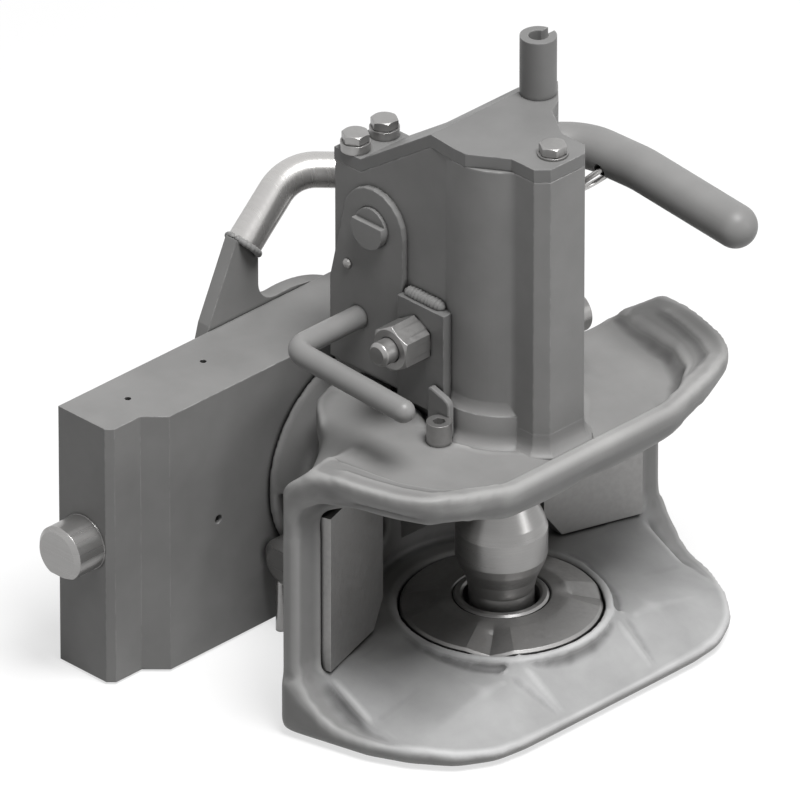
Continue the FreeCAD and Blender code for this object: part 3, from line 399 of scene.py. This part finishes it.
# The wing's shoulder, right half: its inner edge and its higher outer edge, from behind to the front. It
# grows out of the jaw from the root's height.
SHOULDER = [
    ((87.5, 18, 60.5), (103, 10, 64.3)),
    ((84.5, 7, 61.6), (103, 1, 65)),
    ((82.5, -8, 62), (99, -12, 65)),
    ((80, -21, 62.2), (95, -24.5, 65)),
    ((72, -36, 61.8), (86.5, -42, 65.2)),
    ((60, -44, 60), (70, -50, 62.8)),
]
SHOULDER_ROOT = 50
SHOULDER_CHAMFER = 1.5

# The face that is sunk beside the shoulder: y, the shoulder's inner edge there, and the face's height at it.
SUNK_FACE = [(18, 87.5, 58.0), (7, 84.5, 56.6), (-8, 82.5, 55.6), (-21, 80, 55.0), (-36, 72, 54.2),
             (-43, 61, 53.2)]
SUNK_INNER = 44
# Distances from the shoulder's inner edge to the slope's foot and to the cut's side, and the rise between.
SUNK_FOOT = 3.5
SUNK_GAP = 1
SUNK_RISE = 2
# Height of the node's own upper face along y, from which the sunk face starts.
FACE_Y = (-47, -10, 90)
FACE_HEIGHT = (51, 55, 58)
FACE_CLEAR = 0.2

# The beads along the wings are cut level at this height. Every cut reaches up past the whole jaw.
BEAD_TOP = 65.6
BEAD_PLAN = [(79, -60), (125, -60), (125, 20), (79, 20)]
CUT_TOP = 90

# Where the wings end behind: for each x, the lower edge of what is cut away, as (y, height).
OUTER_CUT = [(4, 69), (7.5, 65), (11, 60.5), (15.5, 55), (20, 49), (30, 44), (66, 40)]
WING_CUT = [
    (38, [(13, 69), (16, 66), (19, 62), (24, 59), (34, 58), (46.5, 57), (66, 56)]),
    (57, [(13, 67.5), (16, 64), (19, 58.5), (24, 55), (34, 53), (46.5, 50), (66, 46)]),
    (80, [(13, 67.5), (16.5, 63), (20, 56), (24, 50), (32, 45.5), (46.5, 42), (66, 40)]),
    (108, OUTER_CUT),
    (125, OUTER_CUT),
]


def sunk_face(sign):
    """What is cut off the upper face, down to a slope that ends at the shoulder's foot."""
    sections = []
    for y, edge, low in SUNK_FACE:
        inner, outer = sign * SUNK_INNER, sign * (edge - SUNK_GAP)
        face = float(np.interp(y, FACE_Y, FACE_HEIGHT)) + FACE_CLEAR
        sections.append([(inner, y, face), (sign * (edge - SUNK_FOOT), y, low), (outer, y, low + SUNK_RISE),
                         (outer, y, CUT_TOP), (inner, y, CUT_TOP)])
    return skin("sunk_face", sections)


def bead_top(sign):
    return skin("bead_top", [[(sign * x, y, z) for x, y in BEAD_PLAN] for z in (BEAD_TOP, CUT_TOP)])


def shoulder(sign):
    """The raised shoulder, chamfered along its inner edge."""
    sections = []
    for (x, y, z), (outer_x, outer_y, outer_z) in SHOULDER:
        sections.append([(sign * x, y, SHOULDER_ROOT), (sign * x, y, z - SHOULDER_CHAMFER),
                         (sign * (x + SHOULDER_CHAMFER), y, z), (sign * outer_x, outer_y, outer_z),
                         (sign * outer_x, outer_y, SHOULDER_ROOT)])
    return skin("shoulder", sections)


def wing_end(sign):
    """What is cut off behind, so that the wing ends in an arc."""
    sections = []
    for x, low in WING_CUT:
        top = [(low[-1][0], CUT_TOP), (low[0][0], CUT_TOP)]
        sections.append([(sign * x, y, z) for y, z in low + top])
    return skin("wing_end", sections)


def wing_steps():
    """The solids that sink the upper face, raise the wings' shoulders and end the wings behind."""
    steps = []
    for sign in (1, -1):
        steps += [("DIFFERENCE", sunk_face(sign)), ("DIFFERENCE", bead_top(sign))]
    steps += [("UNION", shoulder(sign)) for sign in (1, -1)]
    steps += [("DIFFERENCE", wing_end(sign)) for sign in (1, -1)]
    return steps


def rise(values, start, width):
    """Zero up to the start, then evenly up to one over the width."""
    return np.clip((values - start) / width, 0, 1)


def fall(values, end, width):
    """One until the width before the end, then evenly down to zero at the end."""
    return np.clip((end - values) / width, 0, 1)


# Height of the mouth's roof, where the upper lip begins.
ROOF = 30


def casting_share(spots):
    """How far each point may be rounded: fully on cast faces, little on machined ones."""
    x, y, z = (spots / MM).T
    around = np.hypot(x, y)
    zones = (
        (z > ROOF, 0.85),                                    # upper lip
        (z > 49, 0.45),                                      # its upper face
        ((z > 54) & (np.abs(x) > 66), 0.22),                 # the wings' shoulders
        (y > 81, 0.08),                                      # flange and journal
        ((around < 50) & (z < -29), 0.12),                   # seat of the wear disc
        ((around < 30) & (z > ROOF), 0.2),                   # bore below the tower
        ((np.abs(x) < 40) & (y < -30) & (z < -30), 0.12),    # raised middle of the lower lip
    )
    share = np.full(len(spots), 0.38)
    for here, level in zones:
        share[here] = level
    return share


# Plan of the upper lip, right half, and the height of its bead's lower edge across x.
LIP_PLAN = [(0, -55), (52, -55), (72, -51), (87, -44), (95, -32), (101, -15), (107, 8), (108, 17)]
BEAD_FOOT_X = (46, 88)
BEAD_FOOT = (51.5, 60.0)
UNDERCUT = 5.0


def undercut(spots):
    """Sets the upper lip's side back below its rounded bead, as the drawing shows."""
    x, y, z = (spots / MM).T
    around = np.hypot(x, y)
    corners = np.array(LIP_PLAN, dtype=float)
    outer = np.interp(np.arctan2(np.abs(x), -y), np.arctan2(corners[:, 0], -corners[:, 1]),
                      np.hypot(corners[:, 0], corners[:, 1]))
    below = np.interp(np.abs(x), BEAD_FOOT_X, BEAD_FOOT) - z
    drop = 0.6 * rise(below, 0, 5) + 0.4 * rise(below, 5, 12)
    inset = UNDERCUT * rise(around / outer, 0.80, 0.17) * drop * rise(z, ROOF, 5) * fall(y, 2, 14)
    length = np.maximum(around, 1)
    spots[:, 0] -= inset * x / length * MM
    spots[:, 1] -= inset * y / length * MM


# The lip's front corners are filled out around this direction, in degrees, and the walls at their rear edges.
CORNER_FILL = 3.0
CORNER_TURN = 33
CORNER_SPREAD = 31
CORNER_WAY = (0.75, -0.66)
WALL_FILL = (1.7, 2.3)


def outline_moves(spots):
    """Fills out the upper lip's front corners and the walls' rear edges to the drawing's outline."""
    x, y, z = (spots / MM).T
    turn = np.degrees(np.arctan2(-y, np.abs(x)))
    bulge = np.cos(np.clip((turn - CORNER_TURN) / CORNER_SPREAD, -1, 1) * math.pi / 2)
    corner = CORNER_FILL * bulge * rise(np.hypot(x, y), 78, 16) * rise(z, 34, 6)
    wall = rise(np.abs(x), 95, 8) * rise(y, 4, 8) * fall(z, 62, 6)
    spots[:, 0] += (CORNER_WAY[0] * corner + WALL_FILL[0] * wall) * np.sign(x) * MM
    spots[:, 1] += (CORNER_WAY[1] * corner + WALL_FILL[1] * wall) * MM


def blend_share(spots):
    """Where the upper face runs smoothly from the neck into the wings."""
    x, y, z = (spots / MM).T
    across = rise(np.abs(x), 36, 6) * fall(np.abs(x), 82, 6)
    return across * rise(y, 4, 8) * fall(y, 52, 5) * rise(z, 40, 4)


def rubbed_and_lit_share(spots, normals):
    """How bright the paint gets, from drawbars wearing it where they slide in and from painted light on
    upward faces: most on the lower lip's upper face.
    """
    x, y, z = (spots / MM).T
    facing = rise(normals[:, 2], -0.10, 0.45)
    return facing * fall(z, -28, 6) * fall(y, 22, 14) * np.maximum(fall(np.abs(x), 104, 10), 0.25)


def read_rows(items, key, width, kind=float):
    """One row of values for each item of a mesh's list."""
    values = np.empty(len(items) * width, dtype=kind)
    items.foreach_get(key, values)
    return values.reshape(-1, width)


def neighbour_mean(rows, pairs, counts):
    total = np.zeros_like(rows)
    for column in range(rows.shape[1]):
        total[:, column] = (np.bincount(pairs[:, 0], rows[pairs[:, 1], column], len(rows))
                            + np.bincount(pairs[:, 1], rows[pairs[:, 0], column], len(rows)))
    return total / counts[:, None]


def relax(rows, pairs, counts, share, rounds):
    """Draws each row towards the mean of its neighbours, by its share, as many times as asked."""
    for _ in range(rounds):
        rows += (neighbour_mean(rows, pairs, counts) - rows) * share[:, None]


# The jaw's fine grid, and how often and how far its points are drawn towards their neighbours: where the
# upper face is blended, where edges are rounded, and where the creases' mask is softened.
VOXEL = 1.45 * MM
BLEND_ROUNDS = 48
BLEND_SHARE = 0.6
CAST_ROUNDS = 10
CAST_SHARE = 0.6
CREASE_ROUNDS = 3
CREASE_SHARE = 0.5
CREASE_SCALE = 6


def bend_level(spots, normals, pairs, counts):
    """How the surface turns at each point: above zero on outer edges, below it in inner corners."""
    turn = np.einsum("ij,ij->i", spots - neighbour_mean(spots, pairs, counts), normals)[:, None] / VOXEL
    relax(turn, pairs, counts, np.full(len(turn), CREASE_SHARE), CREASE_ROUNDS)
    return np.clip(turn[:, 0] * CREASE_SCALE, -0.5, 0.5)


def set_layer(mesh, name, values):
    layer = mesh.attributes.new(name, "FLOAT", "POINT")
    layer.data.foreach_set("value", values)


def jaw_casting():
    """The jaw as a casting: the CAD solid on a fine grid, with its edges and inner corners rounded."""
    rough = loose("jaw_rough", closed_copy("hitch_body"))
    rough = loose("jaw_grid", carve(rough, wing_steps()))
    grid = rough.modifiers.new("grid", "REMESH")
    grid.mode = "VOXEL"
    grid.voxel_size = VOXEL
    mesh = evaluated(rough, "jaw_casting")
    spots = read_rows(mesh.vertices, "co", 3)
    pairs = read_rows(mesh.edges, "vertices", 2, np.int64)
    counts = np.maximum(np.bincount(pairs.ravel(), minlength=len(spots)), 1)
    undercut(spots)
    outline_moves(spots)
    relax(spots, pairs, counts, BLEND_SHARE * blend_share(spots), BLEND_ROUNDS)
    relax(spots, pairs, counts, CAST_SHARE * casting_share(spots), CAST_ROUNDS)
    mesh.vertices.foreach_set("co", spots.ravel())
    mesh.update()
    normals = read_rows(mesh.vertex_normals, "vector", 3)
    set_layer(mesh, "bend", bend_level(spots, normals, pairs, counts))
    set_layer(mesh, "rubbed_and_lit", rubbed_and_lit_share(spots, normals))
    smooth_shade(mesh)
    finish_piece(loose("jaw_casting", mesh), "cast_body", "head", stands_for="hitch_body")


# Tower: foot and collar with hollow flares, as (radius, height), and the rib's own foot, as (height, flare).
FOOT_LOW = 52.3
COLLAR_PROFILE = [(24.5, FOOT_LOW), (33.0, FOOT_LOW), (32.4, 52.6), (30.9, 53.3), (29.5, 54.6), (28.5, 56.3),
                  (28.07, 58.4), (28.07, 66.2), (27.7, 67.0), (27.0, 67.9), (26.35, 69.3), (25.95, 70.8),
                  (25.72, 72.4), (24.5, 72.4)]
RIB_FOOT = [(FOOT_LOW, 4.0), (52.8, 3.2), (53.8, 2.0), (55.4, 0.9), (57.4, 0.3), (60.0, 0.12), (62.0, 0.06),
            (62.6, -0.8)]
RIB_HALF = 15
RIB_FRONT = -38
RIB_BACK = -12
RIB_CORNER = 5
CORNER_FLARE = 0.4
# The node's own straight foot, which is cut away around the rib and the collar.
OLD_FOOT = [(-40, -40), (40, -40), (40, -4), (-24.3, -4), (-24.3, 30), (-40, 30)]
OLD_FOOT_HEIGHTS = (50, 57.7)


def rib_section(height, flare):
    corner = RIB_CORNER - CORNER_FLARE * flare
    return both_sides([(RIB_HALF + flare, RIB_BACK, height), (RIB_HALF + flare, RIB_FRONT + corner, height),
                       (RIB_HALF - corner, RIB_FRONT - flare, height)])


def tower_casting():
    tower = loose("tower_rough", closed_copy("tower_housing"))
    old_foot = skin("old_foot", [[(x, y, z) for x, y in OLD_FOOT] for z in OLD_FOOT_HEIGHTS])
    foot = turned("foot", "Z", (0, 0), COLLAR_PROFILE, 96, ring=True)
    rib = skin("rib_foot", [rib_section(height, flare) for height, flare in RIB_FOOT])
    mesh = carve(tower, [("DIFFERENCE", old_foot), ("UNION", foot), ("UNION", rib)])
    smooth_shade(mesh, 28)
    finish_piece(loose("tower_casting", mesh), "cast_body", "head", stands_for="tower_housing")


# Fasteners: a hexagon's crown and chamfers as shares of its width, a thread's form as shares of its pitch
CROWN_SLOPE = math.tan(math.radians(30))
CROWN_SHARE = 0.96
FOOT_SHARE = 1.02
FOOT_CHAMFER = 0.03
BORE_CHAMFER = 0.04
THREAD_DEPTH = 0.32
CREST_START = 0.40
CREST_END = 0.60
LAST_CREST = 0.6


def hexagon_radius(flats, angle, corner_at):
    turn = (angle - corner_at) % (math.pi / 3) - math.pi / 6
    return flats / 2 / math.cos(turn)


def crowned_hex(name, axis, centre, flats, foot, top, bore=0.0, corner_at=0.0):
    """A hexagon with a turned crown at its top and a light chamfer at its foot."""
    up = 1 if top > foot else -1
    crown = flats / 2 * CROWN_SHARE

    def side(angle):
        return hexagon_radius(flats, angle, corner_at)

    rows = [lambda angle: (min(side(angle), flats / 2 * FOOT_SHARE), foot),
            lambda angle: (side(angle), foot + up * FOOT_CHAMFER * flats),
            lambda angle: (side(angle), top - up * (side(angle) - crown) * CROWN_SLOPE),
            lambda angle: (crown, top)]
    if bore:
        chamfer = BORE_CHAMFER * flats
        rows += [lambda angle: (bore + chamfer, top), lambda angle: (bore, top - up * chamfer),
                 lambda angle: (bore, foot)]
    mesh = polar(name, axis, centre, rows, 96, ring=bool(bore))
    smooth_shade(mesh, 20)
    return mesh


def threaded(name, axis, centre, radius, start, end, pitch, steps):
    """A thread's crests along a rod, with a chamfered end; start may lie beyond end."""
    way = 1 if end > start else -1
    length = abs(end - start)
    depth = THREAD_DEPTH * pitch
    profile = [(radius - depth, start)]
    at = 0.0
    while at + pitch < length - pitch * LAST_CREST:
        profile += [(radius, start + way * (at + pitch * CREST_START)),
                    (radius, start + way * (at + pitch * CREST_END)),
                    (radius - depth, start + way * (at + pitch))]
        at += pitch
    profile += [(radius - depth, end - way * pitch * 0.5), (radius - 2.2 * depth, end)]
    mesh = turned(name, axis, centre, profile, steps)
    smooth_shade(mesh, 50)
    return mesh


def joined(name, meshes):
    """Several meshes as one."""
    work = bmesh.new()
    for mesh in meshes:
        work.from_mesh(mesh)
    whole = bpy.data.meshes.new(name)
    work.to_mesh(whole)
    work.free()
    return whole


# The cover's heads: name, x, y and the height of the foot.
COVER_HEADS = (("cover_front", 0, -29.2, 189), ("cover_left", -19, 67, 164), ("cover_right", -2, 67, 164))
COVER_FLATS = 10.5
COVER_HEIGHT = 4
# The screw through the lug runs along X, through this Y and Z, with its nut outside.
LUG_AXIS = (21, 93)
LUG_SCREW = [(5.4, -30.2), (5.4, -50.9), (5.25, -51.3), (4.3, -52.4), (4.0, -52.6)]
LUG_FLATS = 18.5
LUG_NUT_FOOT = -30
LUG_NUT_TOP = -45
LUG_BORE = 5.0
# The nut and thread that hold the jaw's journal.
SWIVEL_FLATS = 60
SWIVEL_BORE = 20.0
SWIVEL_RADIUS = 20.35
SWIVEL_PITCH = 1.5


def fasteners():
    heads = joined("cover_heads", [crowned_hex(name, "Z", (x, y), COVER_FLATS, z, z + COVER_HEIGHT)
                                   for name, x, y, z in COVER_HEADS])
    smooth_shade(heads, 20)
    finish_piece(loose("cover_heads", heads), "fastener", "head", stands_for="cover_bolts")
    nut = crowned_hex("side_nut", "X", LUG_AXIS, LUG_FLATS, LUG_NUT_FOOT, LUG_NUT_TOP, LUG_BORE, math.pi / 2)
    finish_piece(loose("side_nut", nut), "fastener", "head", stands_for="lug_nut")
    bolt = turned("side_screw", "X", LUG_AXIS, LUG_SCREW)
    smooth_shade(bolt, 20)
    finish_piece(loose("side_screw", bolt), "fastener", "head", stands_for="lug_bolt")
    low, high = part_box("hub_nut")
    nut = crowned_hex("swivel_nut", "Y", (0, 0), SWIVEL_FLATS, low[1] / MM, high[1] / MM, SWIVEL_BORE)
    finish_piece(loose("swivel_nut", nut), "fastener", "head", stands_for="hub_nut")
    journal_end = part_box("hitch_body")[1][1] / MM
    thread = threaded("swivel_thread", "Y", (0, 0), SWIVEL_RADIUS, high[1] / MM - 1, journal_end + 0.2,
                      SWIVEL_PITCH, 96)
    finish_piece(loose("swivel_thread", thread), "fastener", "head")


# The clamp tab's side as (y, height), and the same side set in where its edges are broken.
TAB_SIDE = [(-2, 55), (10.5, 55), (10.5, 73.5), (10.0, 74.6), (8.6, 75.2), (0.5, 72.6), (-1.2, 71.4),
            (-2, 69.8)]
TAB_INSET = [(-1.4, 55.4), (9.9, 55.4), (9.9, 73.3), (9.5, 74.1), (8.5, 74.5), (0.8, 72.0), (-0.8, 71.0),
             (-1.4, 69.6)]
TAB_LAYERS = ((-30.05, TAB_INSET), (-30.6, TAB_SIDE), (-33.0, TAB_SIDE), (-33.5, TAB_INSET))


def clamp_tab():
    mesh = skin("holding_tab", [[(x, y, z) for y, z in outline] for x, outline in TAB_LAYERS])
    smooth_shade(mesh, 30)
    finish_piece(loose("holding_tab", mesh), "cover_paint", "head", stands_for="clamp_tab")


# The wear disc slopes down outside its seat and has four fan-shaped hollows that widen to its edge.
DISC_RINGS = (20.6, 21.2, 22.0, 24.0, 26.0, 27.6, 28.4, 30.0, 33.0, 36.0, 39.0, 41.6, 42.6)
DISC_LOW = -44.5
DISC_SEAT = -34
SEAT_RADIUS = 28
DISC_SLOPE = 0.26
INNER_CHAMFER = (21, 0.6)
OUTER_CHAMFER = (42, 0.9)
FAN_ANGLES = (38, 142, 218, 322)
FAN_HALF = 14
FAN_DEPTH = 2.4
FAN_START = 23
FAN_RUN = 7


def disc_height(radius, angle):
    base = DISC_SEAT - max(radius - SEAT_RADIUS, 0) * DISC_SLOPE
    if radius < INNER_CHAMFER[0]:
        base -= INNER_CHAMFER[1]
    if radius > OUTER_CHAMFER[0]:
        base -= OUTER_CHAMFER[1]
    turn = min(abs((math.degrees(angle) - fan + 180) % 360 - 180) for fan in FAN_ANGLES)
    reach = min(max((radius - FAN_START) / FAN_RUN, 0), 1)
    return base - FAN_DEPTH * reach * max(0, 1 - turn / FAN_HALF)


def wear_disc():
    rows = [lambda angle: (DISC_RINGS[0], DISC_LOW)]
    rows += [lambda angle, radius=radius: (radius, disc_height(radius, angle)) for radius in DISC_RINGS]
    rows += [lambda angle: (DISC_RINGS[-1], DISC_LOW)]
    mesh = polar("wear_ring", "Z", (0, 0), rows, 180, ring=True)
    smooth_shade(mesh, 12)
    finish_piece(loose("wear_ring", mesh), "wear_steel", "head", stands_for="wear_disc")


# Weld beads: distance between sections, points around, length of one scale, and how blunt an end is
BEAD_STEP = 0.35
BEAD_SIDES = 14
SCALE_LENGTH = 1.9
END_SHARE = 0.12


def weld(name, spots, radius, ripple, slot, body):
    """A weld bead: a tube through the points whose scales follow each other."""
    path = [Vector(spot) for spot in spots]
    lengths = [0.0]
    for first, second in zip(path, path[1:]):
        lengths.append(lengths[-1] + (second - first).length)
    count = max(int(lengths[-1] / BEAD_STEP), 8)
    turns = [2 * math.pi * index / BEAD_SIDES for index in range(BEAD_SIDES)]
    sections = []
    for index in range(count + 1):
        at = lengths[-1] * index / count
        leg = max(i for i in range(len(path) - 1) if lengths[i] <= at + 1e-9)
        spot = path[leg].lerp(path[leg + 1], (at - lengths[leg]) / (lengths[leg + 1] - lengths[leg]))
        way = (path[leg + 1] - path[leg]).normalized()
        side = way.cross(Vector((0, 0, 1)) if abs(way.z) < 0.9 else Vector((1, 0, 0))).normalized()
        up = side.cross(way)
        end = min(at, lengths[-1] - at)
        wave = ripple * ((at / SCALE_LENGTH) % 1.0 - 0.5)
        size = radius * math.sqrt(min(1, END_SHARE + end / radius)) + wave
        sections.append([tuple(spot + side * size * math.cos(turn) + up * size * math.sin(turn))
                         for turn in turns])
    mesh = skin(name, sections)
    smooth_shade(mesh, 50)
    finish_piece(loose(name, mesh), slot, body)


def ring_path(centre, way, radius, steps):
    way = Vector(way).normalized()
    side = way.cross(Vector((0, 1, 0))).normalized()
    up = way.cross(side)
    turns = [2 * math.pi * index / steps for index in range(steps + 1)]
    return [Vector(centre) + side * radius * math.cos(turn) + up * radius * math.sin(turn) for turn in turns]


# The lug's seam on the tower, the seam around the bent handle's foot, and the stud of the side pad
LUG_SEAM = [(-25.4, 8.2, 109.6), (-25.4, 30.8, 109.6)]
HANDLE_FOOT = (-22.0, 130.5, 89.9)
HANDLE_WAY = (0.733, 0, 0.68)
HANDLE_RADIUS = 7.4
STUD_AXIS = (63.5, 110)
STUD_PROFILE = [(2.3, -23), (2.3, -27.6), (1.9, -28.2), (1.0, -28.5)]


def welds():
    weld("lug_weld", LUG_SEAM, 2.9, 0.7, "cast_body", "head")
    seam = ring_path(HANDLE_FOOT, HANDLE_WAY, HANDLE_RADIUS, 28)
    weld("handle_weld", seam, 1.5, 0.3, "plate_steel", "lock")


def pad_stud():
    stud = turned("pad_stud", "X", STUD_AXIS, STUD_PROFILE, 32)
    smooth_shade(stud, 30)
    finish_piece(loose("pad_stud", stud), "fastener", "head")


# The photograph is a parallel view from the front left, 30 degrees up. A very long lens stands in.
PIXELS_PER_MM = 2.4
IMAGE_WIDTH = 800
LENS = 1000.0
SENSOR = 36.0
CLIP_RANGE = (0.1, 60)
AIM = Vector((-18.8, 41.1, 50.0)) * MM
VIEW_TURN = math.radians(45)
VIEW_TILT = math.radians(30)


# Light and floor, in metres
WORLD_LEVEL = 0.15
FLOOR_COLOR = 0.33
FLOOR_LIFT = 0.68
FLOOR_HALF = 8.0
FLOOR_GAP = 0.2 * MM
FLOOR_ROUGH = 0.95
# Area lamps: name, place, aim, size and power
LAMPS = (("key", (-0.12, -0.62, 1.90), (0, 0, 0.02), 0.9, 52),
         ("front", (0.9, -2.1, 0.75), (0, 0, 0.0), 0.7, 8))


def make_camera():
    data = bpy.data.cameras.new("camera")
    data.lens = LENS
    data.sensor_width = SENSOR
    data.clip_start, data.clip_end = CLIP_RANGE
    camera = bpy.data.objects.new("camera", data)
    bpy.context.scene.collection.objects.link(camera)
    away = Vector((-math.sin(VIEW_TURN) * math.cos(VIEW_TILT), -math.cos(VIEW_TURN) * math.cos(VIEW_TILT),
                   math.sin(VIEW_TILT)))
    distance = IMAGE_WIDTH / PIXELS_PER_MM * MM * LENS / SENSOR
    camera.location = AIM + away * distance
    camera.rotation_euler = (-away).to_track_quat("-Z", "Y").to_euler()
    bpy.context.scene.camera = camera


def area_lamp(name, spot, aim, size, power):
    data = bpy.data.lights.new(name, "AREA")
    data.size = size
    data.energy = power
    lamp = bpy.data.objects.new(name, data)
    lamp.location = spot
    lamp.rotation_euler = (Vector(aim) - Vector(spot)).to_track_quat("-Z", "Y").to_euler()
    bpy.context.scene.collection.objects.link(lamp)


def seen_rays(tree):
    """One for what the camera sees, directly, in a reflection or through glass, and zero otherwise."""
    path = tree.nodes.new("ShaderNodeLightPath")
    total = path.outputs["Is Camera Ray"]
    for name in ("Is Glossy Ray", "Is Transmission Ray"):
        larger = tree.nodes.new("ShaderNodeMath")
        larger.operation = "MAXIMUM"
        tree.links.new(total, larger.inputs[0])
        tree.links.new(path.outputs[name], larger.inputs[1])
        total = larger.outputs[0]
    return total


def make_world():
    world = bpy.data.worlds.new("world")
    bpy.context.scene.world = world
    world.use_nodes = True
    tree = world.node_tree
    tree.nodes.clear()
    output = tree.nodes.new("ShaderNodeOutputWorld")
    light = tree.nodes.new("ShaderNodeBackground")
    light.inputs["Strength"].default_value = WORLD_LEVEL
    white = tree.nodes.new("ShaderNodeBackground")
    for background in (light, white):
        background.inputs["Color"].default_value = (1, 1, 1, 1)
    blend = tree.nodes.new("ShaderNodeMixShader")
    tree.links.new(seen_rays(tree), blend.inputs[0])
    tree.links.new(light.outputs[0], blend.inputs[1])
    tree.links.new(white.outputs[0], blend.inputs[2])
    tree.links.new(blend.outputs[0], output.inputs["Surface"])


def make_floor():
    """A pale floor that looks white to the camera and keeps the object's shadow."""
    low = cad_box[0][2] - FLOOR_GAP
    mesh = bpy.data.meshes.new("floor")
    mesh.from_pydata([(-FLOOR_HALF, -FLOOR_HALF, low), (FLOOR_HALF, -FLOOR_HALF, low),
                      (FLOOR_HALF, FLOOR_HALF, low), (-FLOOR_HALF, FLOOR_HALF, low)], [], [(0, 1, 2, 3)])
    floor = bpy.data.objects.new("floor", mesh)
    bpy.context.scene.collection.objects.link(floor)
    material = bpy.data.materials.new("floor_white")
    material.use_nodes = True
    tree = material.node_tree
    shader = tree.nodes["Principled BSDF"]
    shader.inputs["Base Color"].default_value = (FLOOR_COLOR, FLOOR_COLOR, FLOOR_COLOR, 1)
    shader.inputs["Roughness"].default_value = FLOOR_ROUGH
    shader.inputs["Specular IOR Level"].default_value = 0.0
    glow = tree.nodes.new("ShaderNodeEmission")
    lift = tree.nodes.new("ShaderNodeMath")
    lift.operation = "MULTIPLY"
    lift.inputs[1].default_value = FLOOR_LIFT
    tree.links.new(seen_rays(tree), lift.inputs[0])
    tree.links.new(lift.outputs[0], glow.inputs["Strength"])
    total = tree.nodes.new("ShaderNodeAddShader")
    tree.links.new(shader.outputs[0], total.inputs[0])
    tree.links.new(glow.outputs[0], total.inputs[1])
    tree.links.new(total.outputs[0], tree.nodes["Material Output"].inputs["Surface"])
    mesh.materials.append(material)


make_camera()
make_world()
make_floor()
for lamp in LAMPS:
    area_lamp(*lamp)
dress_nodes()
jaw_casting()
tower_casting()
fasteners()
clamp_tab()
wear_disc()
welds()
pad_stud()

bpy.context.scene.view_settings.view_transform = "Standard"
